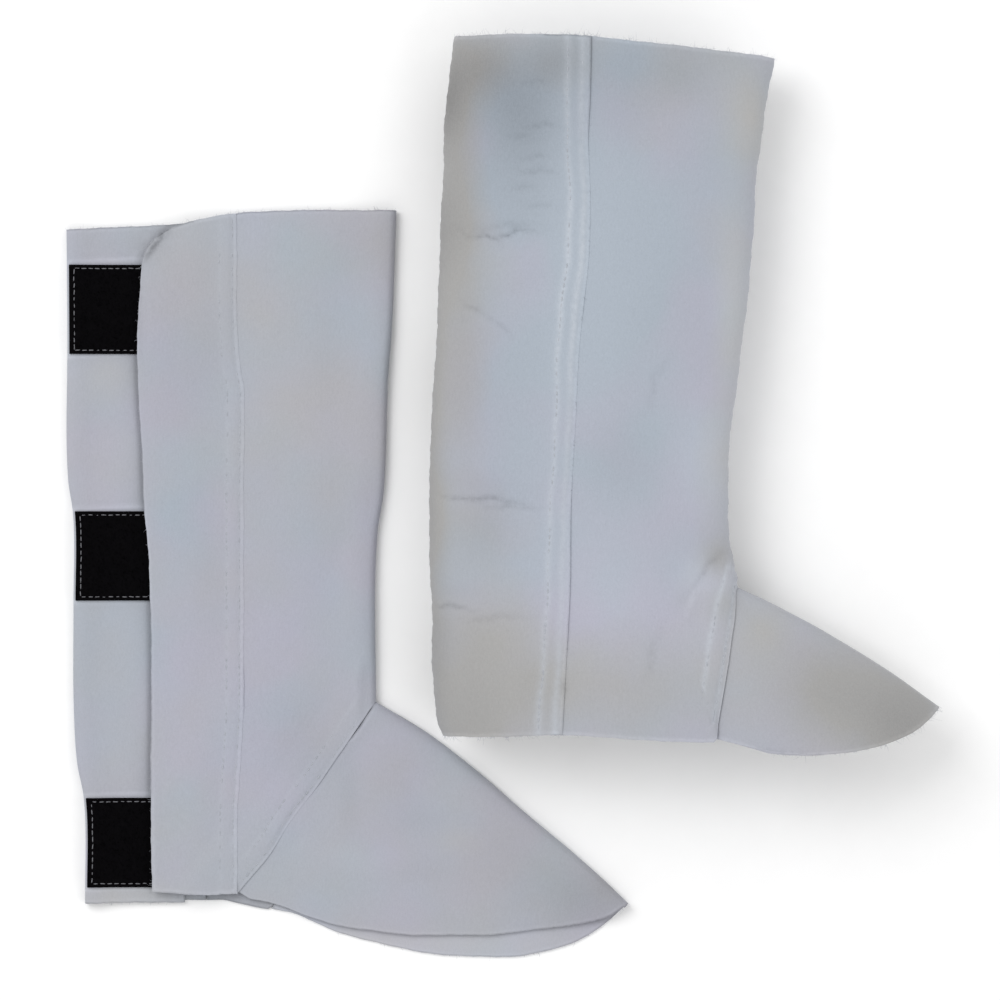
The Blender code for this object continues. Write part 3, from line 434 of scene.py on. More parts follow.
WORN_FRINGE = (
    ("front", "top", 2.2, 2.8), ("back", "top", 2.2, 2.8), ("flap", "top", 1.0, 1.6),
    ("back", "start", 0.6, 0.8), ("flap", "hem", 1.0, 1.8), ("back", "hem", 2.2, 3.0),
    ("toe", "top", 2.0, 2.6))

# ---- finishes: distances from a raw edge are in metres
CUT_LINE = (0.0002, 0.0012)        # the dark line of an open edge, painted shade, fades over this
LIP_STARTS, LIP_ENDS = (0.0006, 0.0013), (0.0016, 0.0030)    # the pale lip inside it, a painted highlight, comes and goes
CLOSED_LIP = (0.0006, 0.0022)      # the pale lip of an edge that lies close, a painted highlight, fades over this
CLOSED_TO = 0.8                    # an edge that gapes by this share has none
EDGE_SHARES = {"cut": -0.25, "lip": 0.06, "closed": 0.11, "crack": -0.26}    # how much each lightens: the dark marks are painted shade, in cracks dirt too, the pale ones painted highlight
NOISES = {  # cells per metre, or None where a setting gives them, then detail and roughness
    "nap": (None, 3.0, 0.65), "streak": (None, 2.0, 0.55), "cloud": (None, 2.0, 0.6),
    "patch": (14.0, 1.0, 0.55), "pebble": (210.0, 2.0, 0.5), "wrinkle": (95.0, 2.0, 0.6),
    "hue": (17.0, 1.5, 0.55), "broken": (320.0, 2.0, 0.55), "plies": (2600.0, 1.0, 0.55),
    "fuzz": (1300.0, 3.0, 0.7), "tufts": (260.0, 2.0, 0.55), "paper": (60.0, 2.0, 0.55)}
SUEDE = {  # sums that the suede gives: noises and their weights
    "Tone": (("cloud", 0.5), ("patch", 0.5)),
    "Nap": (("nap", 0.6), ("streak", 0.4)),
    "Height": (("nap", 0.35), ("streak", 0.3), ("pebble", 0.5), ("wrinkle", 0.7))}
MIDDLE = (0.3, 0.7)                # part of a noise that is drawn out to a range, unless that names its own
RANGES = {  # low and high of what a finish takes from a noise
    "clouds": (0.0, 0.5), "hue": (0.0, 0.8, 0.36, 0.64), "broken": (0.35, 1.0, 0.35, 0.6),
    "thinned": (0.6, 1.0, 0.35, 0.6), "fibres": (0.93, 1.06), "suede dull": (0.8, 0.96), "plies": (0.8, 1.1),
    "pile": (0.55, 1.6), "pile dull": (0.85, 1.0), "hooks": (0.7, 1.5, -1.0, 1.0),
    "hooks dull": (0.85, 0.6, -1.0, 1.0), "paper": (0.995, 1.005)}
BRUSHED = (1.0, 0.32, 1.0)         # the nap's noise is drawn out along the height
ASIDE = (0.31, 0.17, 0.4)          # place of the noise that is independent of the rest
RAW_DEPTH = 2.5                    # a raw edge is this much rougher than the grain

# ---- stage, in metres
FLOOR_HALF = 3.0
LIGHTS = (  # name, place, width, power in the key light's
    ("key", (-1.1, 0.9, 1.9), 1.5, 1.0),
    ("fill", (1.6, -0.8, 1.6), 1.8, 0.45))

# ---- cuts: width, length and area of each flat piece, in metres and square metres
CUTS = {
    "laid_front_leather": (0.218, 0.393, 0.0657),
    "laid_back_leather": (0.146, 0.382, 0.0520),
    "laid_flap_leather": (0.060, 0.382, 0.0196),
    "laid_toe_leather": (0.230, 0.170, 0.0325),
    "worn_front_leather": (0.225, 0.389, 0.0770),
    "worn_back_leather": (0.165, 0.386, 0.0570),
    "worn_flap_leather": (0.060, 0.382, 0.0205),
    "worn_toe_leather": (0.185, 0.125, 0.0190)}
LOOP_CUT = (0.060, 0.050)
HOOK_CUTS = ((0.0185, 0.045), (0.013, 0.048), (0.0115, 0.048))    # one for each band, from the top


# ---- curves and grids

def along(x, table):
    """Smooth curve through a two-column table: cubic pieces, each slope the mean of its neighbours'."""
    xs, ys = (np.array(column, float) for column in zip(*table))
    steps = np.diff(ys) / np.diff(xs)
    slopes = np.concatenate([steps[:1], (steps[:-1] + steps[1:]) / 2, steps[-1:]])
    turning = np.concatenate([[False], steps[:-1] * steps[1:] <= 0, [False]])
    slopes[turning] = 0
    x = np.clip(x, xs[0], xs[-1])
    i = np.clip(np.searchsorted(xs, x) - 1, 0, len(xs) - 2)
    width = xs[i + 1] - xs[i]
    t = (x - xs[i]) / width
    rise = ys[i] * (1 + 2 * t) * (1 - t) ** 2 + ys[i + 1] * t ** 2 * (3 - 2 * t)
    return rise + width * (slopes[i] * t * (1 - t) ** 2 - slopes[i + 1] * t ** 2 * (1 - t))


def smooth(x, start, end):
    """0 before start, 1 after end, with an S-shaped passage."""
    t = np.clip((x - start) / (end - start), 0, 1)
    return t * t * (3 - 2 * t)


def hill(x, width):
    """1 at 0, fading both ways over a width."""
    return np.exp(-(x / width) ** 2)


def spread(start, end, step):
    """Even places from start to end, about one step apart."""
    return np.linspace(start, end, max(2, round(abs(end - start) / step) + 1))


def unit(vectors):
    """Vectors scaled to length 1."""
    return vectors / np.maximum(np.linalg.norm(vectors, axis=-1, keepdims=True), 1e-9)


def level(number):
    """Height of the middle of a layer in the laid stack, 0 on the floor."""
    return FLOOR_LAYER + LAYER * number


def waves(across, height):
    """Soft unevenness from -1 to 1: a sum of sines that run in several directions."""
    return sum(share * np.sin(2 * math.pi * MM * (per_across * across + per_height * height) + phase)
               for per_across, per_height, phase, share in WAVES)


def ragged(x, phase):
    """Unevenness of a hand-cut raw edge: a sum of sines along it."""
    return RAGGED * sum(share * np.sin(2 * math.pi * cycles * x + shift + phase)
                        for cycles, shift, share in RAGGED_WAVES)


def crease_depth(across, height, table):
    """Depth of soft creases: each a trough that fades along and across its own wandering line."""
    depth = 0
    for at_height, at_across, half_length, half_width, deep, tilt, wander in table:
        cos, sin = math.cos(math.radians(tilt)), math.sin(math.radians(tilt))
        aside, up = across - at_across, height - at_height
        lengthwise = (aside * cos + up * sin) / half_length
        line = wander * sum(share * np.sin(rate * lengthwise + phase) for share, rate, phase in WANDER)
        crosswise = (up * cos - aside * sin - line) / half_width
        depth = depth + deep * np.exp(-lengthwise ** 2 - crosswise ** 2)
    return depth


def tone(across, height, table):
    """Warmth, teal and lightness: each a sum of listed soft patches."""
    values = np.zeros((3, *across.shape))
    for at_height, at_across, half_height, half_width, *changes in table:
        patch = np.exp(-((height - at_height) / half_height) ** 2 - ((across - at_across) / half_width) ** 2)
        values = values + np.multiply.outer(changes, patch)
    return values


def pared(away, gape):
    """Share of the wall left at a distance from a lapped edge, which is pared thin."""
    close, open_ = PARED_TO
    least = close + (open_ - close) * gape
    return least + (1 - least) * smooth(away, 0, PARED_FROM)


def beside_rows(away, rows, width):
    """1 along both stitched rows of a lapped seam, fading over a width."""
    return sum(hill(away - row, width) for row in rows)


def row_shift(height):
    """How far the worn seam's two rows wander off their line."""
    return sum(swing * np.sin(rate * height + phase) for swing, rate, phase in ROW_WANDER)


def seam_press(away, gape, rows=EDGE_ROWS, relief=1.0):
    """How far a sheet's middle is pressed down near a lapped edge: by paring, and along both rows."""
    puff = hill(away - sum(rows) / 2, PUFF_WIDTH)
    channels = beside_rows(away, rows, ROW_WIDTH)
    closed = CLOSES * GAP * (1 - gape) * (1 - smooth(away, 0, PARED_FROM))
    return (1 - pared(away, gape)) * LEATHER / 2 + closed + relief * (ROW_DEPTH * channels - PUFF * puff)


# A sheet's grid, and for its points the distance from a lapped edge, how far that edge gapes, how near they
# lie to its stitched rows, how open the nearest raw edge lies, and how much lighter they are painted, mostly
# as painted light and shade.
Sheet = namedtuple("Sheet", "points away gape rows open light", defaults=(FAR, 0.0, 0.0, 1.0, 0.0))


def openness(away, gape, free):
    """How open the nearest raw edge lies: a lapped one as far as it gapes, a free one by its own share."""
    return np.where(away < 2 * SEAM_LAP, gape, free)


def closer_at_start(fine, step, whole):
    """Shares of a whole length in steps, half as long over its first part."""
    closer = spread(0, fine / whole, step / 2 / whole)[:-1]
    return np.concatenate([closer, spread(fine / whole, 1, step / whole)])


# ---- laid guard

def settled(across, height, out):
    """Points of a laid sheet with soft waves and creases, which all layers share but the one on the floor."""
    across, height, out = np.broadcast_arrays(across, height, out)
    above = smooth(out, level(0) + LIFT_FROM, level(1))
    rise = LAID_WAVE * (0.5 + 0.5 * waves(across, height)) - crease_depth(across, height, LAID_CREASES)
    return np.stack([across, height, out + above * rise], axis=-1)


def folded(near, far, step):
    """Columns of a folded sheet: the turn of its bend, and the share of the half still to go or gone."""
    upper, lower = spread(1, 0, step / near), spread(0, 1, HIDDEN_COARSER * step / far)
    bend = np.linspace(math.pi / 2, -math.pi / 2, BEND_POINTS)[1:-1]
    turn = np.concatenate([np.full(upper.size, math.pi / 2), bend, np.full(lower.size, -math.pi / 2)])
    return turn, np.concatenate([upper, 0 * bend, lower])


def in_bend(turn, radius):
    """Out of a U-bend's middle: lowest at a quarter turn down, and two radii up at a quarter turn up."""
    return level(0) + radius * (1 + np.sin(turn))


def beside_bend(inside, radius, reach):
    """Out of the upper layer's middle at a distance inside a U-bend, which holds it up over a reach."""
    swell = level(0) + 2 * radius - level(1)
    return level(1) + swell * hill(np.maximum(inside, 0), reach)


def near_layer(across, height):
    """Middle of the upper shaft layer: it lies on the lower one and swells up towards the shin fold."""
    return beside_bend(along(height, SHIN_FOLD) - FLOOR_LAYER - SHIN_BEND - across, SHIN_BEND, SHIN_SWELL)


def beside_toe_seam(across, height):
    """Distance of points from the shaft's edge over the toe piece, and 0 to 1 from the shin fold inwards."""
    beside = (along(across, TOE_SEAM) - height) * TOE_LEAN[1]
    return beside, smooth(SHIN_FOLD[0][1] - SHIN_BEND - across, *FOLD_END)


def toe_seam_distance(across, height):
    """The same distance, but far beneath the flap and at the fold, where no edge shows."""
    beside, inside = beside_toe_seam(across, height)
    return beside + FAR * (1 - smooth(across, *TOE_SEAM_FROM)) + FAR * (1 - inside)


def toe_lap_rise(across, height, spare=0.0):
    """Extra layer where the shaft lies over the toe piece; none in the last millimetres before the fold."""
    beside, inside = beside_toe_seam(across, height)
    return LAYER * (1 - smooth(beside - SEAM_LAP - spare, *LAP_END)) * inside


def laid_front_panel(step):
    """Front panel: upper half from the flap's seam to the shin, U-bend, lower half back to the plain seam."""
    turn, share = folded(SHIN_FOLD[0][1] - NEAR_PANEL_EDGE, SHIN_FOLD[0][1] - FAR_SEAM, step)
    edge = np.where(turn > 0, NEAR_PANEL_EDGE, FAR_SEAM + GAP)

    def across_at(height):
        inner = along(height, SHIN_FOLD) - FLOOR_LAYER - SHIN_BEND
        return inner - share * (inner - edge) + SHIN_BEND * np.cos(turn)

    start = across_at(np.full(turn.size, SEAM_LEVEL))
    uneven = ragged(start, PHASES["front hem"]) * (1 - smooth(start, *EVEN_FROM)) * (turn > 0)
    low_near = np.maximum(along(start, FLAP_HEM), along(start, TOE_SEAM) + uneven)
    low_far = np.maximum(along(start, FAR_HEM), along(start, FAR_TOE_SEAM))
    low = np.where(turn >= 0, low_near, low_far)
    end = across_at(np.full(turn.size, TOP_LEVEL))
    high = along(end, PANEL_TOP) + ragged(end, PHASES["top"])
    height = low + (high - low) * closer_at_start(FINE_HEM, step, TOP_LEVEL)[:, None]
    across = across_at(height)
    away = np.where(turn > 0, toe_seam_distance(across, height), FAR)
    gape = along(height, TOE_GAPE)
    press = seam_press(away, gape, EDGE_ROWS, LAID_RELIEF)
    lying = near_layer(across, height) + toe_lap_rise(across, height) - press
    points = settled(across, height, np.where((turn > 0) & (share > 0), lying, in_bend(turn, SHIN_BEND)))
    return Sheet(points, away, gape, beside_rows(away, EDGE_ROWS, RUB_WIDTH), openness(away, gape, 1.0))


def back_section(height, girth):
    """Across and out of the back panel's middle, at a distance round it from the back fold, upper half."""
    fold = along(height, BACK_FOLD) + FLOOR_LAYER
    turn = np.clip(girth / BACK_BEND, 0, math.pi / 2)
    flat = np.maximum(girth - BACK_BEND * math.pi / 2, 0)
    across = fold + BACK_BEND * (1 - np.cos(turn)) + flat
    return across, np.where(flat > 0, beside_bend(flat, BACK_BEND, BACK_SWELL), in_bend(turn, BACK_BEND))


def laid_back_panel(step):
    """Back panel: lower half from the plain seam to the back fold, U-bend, and the underlap on top."""
    far = spread(1, 0, BACK_COARSER * step / FAR_SEAM)
    bend = np.linspace(-math.pi / 2, math.pi / 2, BEND_POINTS)[1:]
    near = spread(0, 1, step / UNDERLAP_TO)[1:]
    rows = spread(0, 1, step / SHAFT_HEIGHT)[:, None]
    low, high = along(0.0, UNDERLAP_HEM), along(0.0, BACK_TOP)
    height = low + (high - low) * rows
    inner = along(height, BACK_FOLD) + FLOOR_LAYER + BACK_BEND
    low_across = inner + far * (FAR_SEAM - inner)
    bend_across = inner - BACK_BEND * np.cos(bend)
    bend_out = in_bend(bend, BACK_BEND) + 0 * height
    girth = BACK_BEND * math.pi / 2 + near * (UNDERLAP_TO - inner)
    top_across, top_out = back_section(height, girth)
    across = np.concatenate([low_across, bend_across, top_across], axis=1)
    out = np.concatenate([np.full(low_across.shape, level(0)), bend_out, top_out], axis=1)
    below = np.arange(across.shape[1]) < far.size
    hem = np.where(below, along(across, FAR_HEM), along(across, UNDERLAP_HEM))
    hem = hem + ragged(across, PHASES["back hem"])
    top = along(across, BACK_TOP) + ragged(across, PHASES["back top"])
    beside_tape = sum(hill(past_tape(height, tape_top) - BAND_PAST, BAND_WIDTH) for tape_top in BAND_TOPS)
    beside_flap = hill(across - along(height, FLAP_EDGE) + EDGE_SHADE_AT, EDGE_SHADE_WIDTH)
    beside_flap = beside_flap * smooth(height, *EDGE_SHADE_LOW) * (1 - smooth(height, *EDGE_SHADE_HIGH))
    # Painted pale bands beside the tapes, and the flap's free edge's shadow painted on the underlap.
    light = BAND_LIGHT * beside_tape - EDGE_SHADE * beside_flap
    return Sheet(settled(across, hem + (top - hem) * rows, out), light=light)


def past_tape(height, top):
    """How far a height lies past a tape's upper or lower edge; negative beside the tape."""
    return np.abs(height - top + TAPE_HEIGHT / 2) - TAPE_HEIGHT / 2


def held_up(height, spare, fade):
    """1 beside the tapes and a little past their edges, then fading over a distance."""
    return np.maximum.reduce([hill(np.maximum(past_tape(height, top) - spare, 0), fade) for top in BAND_TOPS])


def flap_lift(across, height):
    """Rise of the flap over the tapes, its sag between them, and its lifted upper corner."""
    held = held_up(height, HELD_PAST, HELD_FADE)
    over = 1 - smooth(across - UNDERLAP_TO, *UNDERLAP_END)
    corner = smooth(height - CORNER_SLOPE * across, *CORNER_HEIGHTS) * (1 - smooth(across, *CORNER_ACROSS))
    return 2 * LAYER * over * (SAG + (1 - SAG) * held) + CORNER_LIFT * corner


def flap_middle(across, height):
    """Middle of the flap, without what its lapped seam presses down."""
    close, spare = toe_lap_rise(across, height), toe_lap_rise(across, height, FLAP_SPARE)
    rise = close + (spare - close) * smooth(along(height, FLAP_SEAM) - across, *FLAP_FOLLOWS)
    return level(2) + flap_lift(across, height) + rise


def laid_flap(step):
    """Flap: from its free edge over the tapes to its lapped seam on the front panel."""
    share = 1 - closer_at_start(FINE_EDGE, step, FLAP_WIDTH)[::-1]
    rows = spread(0, 1, step / SHAFT_HEIGHT)[:, None]
    guess = FLAP_HEM[0][1] + (FLAP_TOP[2][1] - FLAP_HEM[0][1]) * rows

    def across_at(height):
        edge = along(height, FLAP_EDGE) + ragged(height, PHASES["flap edge"]) * (1 - share) ** 4
        seam = along(height, FLAP_SEAM) + ragged(height, PHASES["flap seam"]) * share ** 4
        return edge + share * (seam - edge)

    across = across_at(guess)
    low = along(across[:1], FLAP_HEM) + ragged(across[:1], PHASES["flap hem"])
    high = along(across[-1:], FLAP_TOP) + ragged(across[-1:], PHASES["top"])
    height = low + (high - low) * rows
    across = across_at(height)
    away, gape = along(height, FLAP_SEAM) - across, along(height, FLAP_GAPE)
    out = flap_middle(across, height) - seam_press(away, gape, EDGE_ROWS, LAID_RELIEF)
    closes, fade = TAPE_CLOSES
    open_edge = openness(away, gape, 1 - closes * held_up(height, 0, fade))
    # Painted light over the pared slope, less painted shade at the closed edge's painted highlight.
    light = PAINTED_SLOPE_LIGHT * (1 - smooth(away, 1, 1 + PARED_FROM)) - LIP_SHADE * (1 - smooth(away, *LIP_WIDTH))
    rows = beside_rows(away, EDGE_ROWS, RUB_WIDTH)
    return Sheet(settled(across, height, out), away, gape, rows, open_edge, light)


def loop_face(girth, height, lift):
    """Underlap's own points, moved out by a lift."""
    across, out = back_section(height, girth)
    ahead_across, ahead_out = back_section(height, girth + SHORT_WAY)
    slope = unit(np.stack([ahead_across - across, ahead_out - out], axis=-1))
    return settled(across - slope[..., 1] * lift, height, out + slope[..., 0] * lift)


def laid_loop_tape(top, step):
    """Loop tape sewn on the underlap, one layer above it."""
    rows = spread(top - TAPE_HEIGHT, top, step)[:, None]
    share = spread(0, 1, step / TAPES_TO)
    girth = LOOP_FROM + share * (TAPES_TO - along(rows, BACK_FOLD) - LOOP_FROM)
    return loop_face(girth, rows, LAYER)


def laid_hook_tape(top, step):
    """Hook tape sewn inside the flap, one layer below it."""
    highest = min(top - HOOK_MARGIN, FLAP_TOP[1][1] - HOOK_CLEAR)
    rows = spread(top - TAPE_HEIGHT + HOOK_MARGIN, highest, step)[:, None]
    edge = along(rows, FLAP_EDGE) + HOOK_INSET
    across = edge + spread(0, 1, step / HOOK_WIDTH) * (TAPES_TO - edge)
    return settled(across, rows, level(3))


def laid_toe_piece(step):
    """Toe piece: upper half, U-bend along the ridge, lower half. Each line runs from the seam to the hem."""
    turn, share = folded(TOE_LENGTH, TOE_LENGTH, step)
    upper = turn > 0
    flat = np.abs(turn) == math.pi / 2
    tuck = SHIN_BEND * (1 - np.cos(turn)) + FLOOR_LAYER
    ankle, tip = np.array(ANKLE), np.array(TIP)
    ridge = unit(tip - ankle)
    outward = np.array([-ridge[1], ridge[0]])
    corner = np.where(upper, NEAR_TOE_HEM[0][0], FAR_TOE_HEM[0][0]) + GAP
    inside = share * (ANKLE[0] - tuck - corner)
    seam_across = ANKLE[0] - tuck - inside
    seam_height = np.where(turn >= 0, along(seam_across, TOE_SEAM), along(seam_across, FAR_TOE_SEAM))
    hem_start = TIP[0] - tuck * outward[0]
    hem_across = hem_start - share ** FAN * (hem_start - corner - CORNER_STEP)
    hem_height = np.where(upper, along(hem_across, NEAR_TOE_HEM), along(hem_across, FAR_TOE_HEM))
    hem_height = np.where(flat, hem_height, TIP[1] - tuck * outward[1])
    hem_height = hem_height + ragged(hem_across, PHASES["toe hem"] + upper) * smooth(share, *SETTLES)
    lap = np.where(upper, (SEAM_LAP + SEAM_GAP) * smooth(inside, *TOE_LAP_START), 0)
    seam = np.stack([seam_across, seam_height], axis=-1) + TOE_LEAN * (SEAM_GAP - lap)[:, None]
    hem = np.stack([hem_across, hem_height], axis=-1)
    steps = spread(0, 1, step / TOE_LENGTH)[:, None, None]
    plan = seam + (hem - seam) * steps
    bow = along(steps[..., 0], TOE_RIDGE_BOW) * (1 - share) ** 2
    plan = plan + bow[..., None] * outward
    across, height = np.moveaxis(plan, -1, 0)
    reach = TOE_SWELL + (TIP_SWELL - TOE_SWELL) * steps[..., 0]
    lying = beside_bend((ankle - plan) @ outward + bow - SHIN_BEND, SHIN_BEND, reach)
    beneath = smooth(height - along(across, TOE_SEAM), *BENEATH_SHAFT)
    lying = lying + (near_layer(across, height) - lying) * beneath
    return Sheet(settled(across, height, np.where(upper & (share > 0), lying, in_bend(turn, SHIN_BEND))))


# ---- worn guard: the plain side has positive girth and positive out

def oval(turn, half_width, half_depth):
    """Point of the section's oval at an angle round from the back."""
    return -half_width * np.cos(turn), half_depth * np.sin(turn)


TURNS = np.linspace(-math.pi, 2 * math.pi, SECTION_POINTS)
GIRTHS = np.concatenate([[0], np.cumsum(np.hypot(*np.diff(oval(TURNS, *NOMINAL))))])
GIRTHS = GIRTHS - np.interp(0, TURNS, GIRTHS)
SHIN_GIRTH = float(np.interp(math.pi, TURNS, GIRTHS))


def worn_section(height):
    """Middle, half width and half depth of the hollow section at a height."""
    back, front = along(height, WORN_BACK), along(height, WORN_FRONT)
    return (back + front) / 2, (front - back) / 2, along(height, WORN_HALF_DEPTH)


def worn_relief(across, height, out):
    """Rise of the worn leather: soft waves, less beneath, and creases on the plain and the closure side."""
    aside, start = WORN_WAVE_SHIFT
    soft = WORN_WAVE * waves(across + aside * out, height + start) * smooth(out, *WORN_WAVE_FROM)
    plain = crease_depth(across, height, WORN_CREASES) + crease_depth(across, height, WORN_LINES)
    hidden = crease_depth(across, height, HIDDEN_CREASES)
    nicked = BACK_UNEVEN * ragged(height, PHASES["worn fold"]) * hill(out, FOLD_WIDTH)
    return soft + nicked - plain * smooth(out, *WORN_UPPER) - hidden * smooth(-out, *WORN_UPPER)


def worn_face(girth, height, lift):
    """Points and normals of the worn shaft: the oval at that height, moved out along its normal by a lift."""
    turn = np.interp(girth, GIRTHS, TURNS)
    middle, half_width, half_depth = worn_section(height)
    across, out = oval(turn, half_width, half_depth)
    run_across, run_out = half_width * np.sin(turn), half_depth * np.cos(turn)
    length = np.hypot(run_across, run_out)
    move = lift + worn_relief(middle + across, height, out)
    normal = np.stack([-run_out / length, 0 * length, run_across / length], axis=-1)
    points = np.stack([middle + across, height + 0 * across, out], axis=-1) + normal * move[..., None]
    return points, normal


def worn_seam(height):
    """Girth of the plain side's seam, which is drawn in side view."""
    middle, half_width, _ = worn_section(height)
    turn = np.arccos(np.clip((middle - along(height, WORN_SEAM)) / half_width, -1, 1))
    return np.interp(turn, TURNS, GIRTHS)


def toe_arch(girth):
    """Height of the shaft's lower edge over the instep."""
    return along(np.abs(SHIN_GIRTH - girth), WORN_TOE_SEAM)


def arch_distance(girth, height):
    """Distance of the shaft's points from its edge over the toe piece: the rise over it, across its slope."""
    slope = (toe_arch(girth + NEARBY) - toe_arch(girth - NEARBY)) / (2 * NEARBY)
    past = smooth(np.abs(SHIN_GIRTH - girth), *TOE_SEAM_TO)
    return (height - toe_arch(girth)) / np.hypot(1, slope) + FAR * past


def worn_sheet(start, end, width, layers, edge_distance, edge_rows, step, phase):
    """Sheet between two girths, each a function of height, from the hem or the toe seam to the top.

    How many layers it lies out, and how far from its lapped edge, are functions of girth and height.
    """
    share = closer_at_start(FINE_EDGE, step, width)
    low = np.full(share.size, 10.0)    # a guess, which each round brings nearer to the edge
    for _ in range(8):
        girth = start(low) + share * (end(low) - start(low))
        hem = along(worn_face(girth, low, 0)[0][:, 0], WORN_HEM)
        low = np.maximum(toe_arch(girth), hem)
    low = low + ragged(girth, phase)
    high = np.full(share.size, TOP_LEVEL)
    girth = start(high) + share * (end(high) - start(high))
    high = along(worn_face(girth, high, 0)[0][:, 0], WORN_TOP) + ragged(girth, phase + 2)
    height = low + (high - low) * closer_at_start(FINE_HEM, step, TOP_LEVEL)[:, None]
    girth = start(height) + share * (end(height) - start(height))
    beside, over = edge_distance(girth, height), arch_distance(girth, height)
    first = beside < over
    gape = np.where(first, along(height, WORN_GAPE), along(height, WORN_TOE_GAPE))
    away = np.where(first, beside + row_shift(height) * smooth(beside, 0, edge_rows[0]), over)
    press = np.where(first, seam_press(away, gape, edge_rows), seam_press(away, gape))
    rub_width = PLAIN_RUB_WIDTH if edge_rows is PLAIN_ROWS else RUB_WIDTH
    rub = beside_rows(away, edge_rows, rub_width) * along(height, WORN_RUB)
    rows = np.where(first, rub, beside_rows(away, EDGE_ROWS, RUB_WIDTH))
    points = worn_face(girth, height, LAYER * layers(girth, height) - press)[0]
    return Sheet(points, away, gape, rows, openness(away, gape, 0.0))


def worn_back_panel(step):
    """Back panel: from its lap over the front panel round the calf to the underlap's free edge."""
    return worn_sheet(
        worn_seam, lambda height: -UNDERLAP_TO - WORN_TURN, WORN_BACK_WIDTH,
        lambda girth, height: 1 - smooth(worn_seam(height) - girth - SEAM_LAP, *WORN_LAP_END),
        lambda girth, height: worn_seam(height) - girth, PLAIN_ROWS, step, PHASES["worn back"])


def worn_front_panel(step):
    """Front panel: from beneath the back panel's lap round the shin to its edge beneath the flap."""
    return worn_sheet(
        lambda height: worn_seam(height) - SEAM_LAP, lambda height: 2 * SHIN_GIRTH - NEAR_PANEL_EDGE,
        WORN_FRONT_WIDTH, lambda girth, height: 0, lambda girth, height: FAR, EDGE_ROWS, step,
        PHASES["worn front"])


def worn_flap(step):
    """Flap: from its seam on the front panel over the tapes to its free edge."""
    return worn_sheet(
        lambda height: -along(height, FLAP_SEAM),
        lambda height: -along(height, FLAP_EDGE) + ragged(height, PHASES["flap edge"]), FLAP_WIDTH,
        lambda girth, height: 1 + flap_lift(-girth - WORN_TURN, height) / LAYER,
        lambda girth, height: along(height, FLAP_SEAM) + girth, EDGE_ROWS, step, PHASES["worn flap"])


def worn_tape(start, end, top, layer, step):
    """Tape on the closure side, between two distances round from the back."""
    height = spread(top - TAPE_HEIGHT, top, step)[:, None]
    return worn_face(-spread(start, end, step), height, LAYER * layer)[0]


def hook_start(top):
    """Distance round from the back at which a worn hook tape starts."""
    return float(along(top - TAPE_HEIGHT / 2, FLAP_EDGE)) + HOOK_INSET


def toe_lap(laps, step):
    """Rows of the worn toe piece beneath the shaft, each a distance up from the arch, along its normal."""
    girth = spread(-TOE_GIRTH, TOE_GIRTH, step)
    height = along(np.abs(girth), WORN_TOE_SEAM)
    slope_girth, slope_height = np.gradient(girth), np.gradient(height)
    length = np.hypot(slope_girth, slope_height)
    lap_girth = SHIN_GIRTH - girth + laps[:, None] * slope_height / length
    return girth / TOE_GIRTH, lap_girth, height + laps[:, None] * slope_girth / length


def worn_toe_piece(step):
    """Toe piece: lines run from beneath the shaft's arch to the hem; columns go from far corner to near."""
    side, lap_girth, lap_height = toe_lap(spread(SEAM_LAP, 0, step), step)
    lap = worn_face(lap_girth, lap_height, -TOE_DEPTH * LAYER)[0]
    middle, ahead, half_width = TOE_PLAN
    plan = side * math.pi / 2
    hem_across = middle + ahead * np.cos(plan)
    hem_height = along(hem_across, WORN_TOE_HEM) + ragged(TOE_ROUND * plan, PHASES["worn toe"])
    hem = np.stack([hem_across, hem_height, half_width * np.sin(plan)], axis=-1)
    steps = spread(0, 1, step / WORN_TOE_LENGTH)[1:, None, None]
    body = lap[-1] + (hem - lap[-1]) * steps
    full = TOE_FULLNESS * np.sin(math.pi * steps) * (1 - side ** 4)[:, None]
    shifted = body[..., :1] + WORN_WAVE_SHIFT[0] * body[..., 2:]
    soft = WORN_WAVE * waves(shifted, body[..., 1:2]) * np.sin(math.pi * steps)
    ahead_part, up_part, middle_part = TOE_FORWARD
    lean = unit(np.stack([ahead_part + 0 * side, up_part + middle_part * (1 - side ** 2), side], axis=-1))
    body = body + (full + soft) * lean
    dent = crease_depth(body[..., 0], body[..., 1], WORN_CREASES) * np.sin(math.pi * steps[..., 0])
    body[..., 2] -= dent * smooth(body[..., 2], *WORN_UPPER)
    return Sheet(np.concatenate([lap, body]), open=0.0)


# ---- from plan to meshes

def laid_origin():
    """Start of the laid guard's plan in the row, in mm: its middle hook tape ends at known plan sizes."""
    corner = np.array(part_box("flat_hook_tape_2")[1]) / MM
    return corner - (TAPES_TO, BAND_TOPS[1] - HOOK_MARGIN, corner[2])


LAID = laid_origin()
WORN = LAID + WORN_PLACE


def new_object(name, data):
    """Object in the scene, at the origin."""
    made = bpy.data.objects.new(name, data)
    bpy.context.scene.collection.objects.link(made)
    return made


def new_piece(name, vertices, faces, finishes, origin):
    """Smooth mesh object that rides on the one body; vertices are plan points in mm."""
    mesh = bpy.data.meshes.new(name)
    mesh.from_pydata(((vertices + origin) * MM).tolist(), [], faces)
    for finish in finishes:
        mesh.materials.append(finish)
    mesh.shade_smooth()
    piece = new_object(name, mesh)
    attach(piece, "root")
    return piece


def give_values(piece, **values):
    """Named values for a piece's points, which its finish reads."""
    for name, value in values.items():
        piece.data.attributes.new(name, "FLOAT", "POINT").data.foreach_set("value", np.ravel(value))


def arc_of(points, way=0):
    """Distance from the start along a path, or along each of a grid's lines one way."""
    steps = np.diff(points, axis=way, prepend=points.take([0], way))
    return np.cumsum(np.linalg.norm(steps, axis=-1), axis=way)


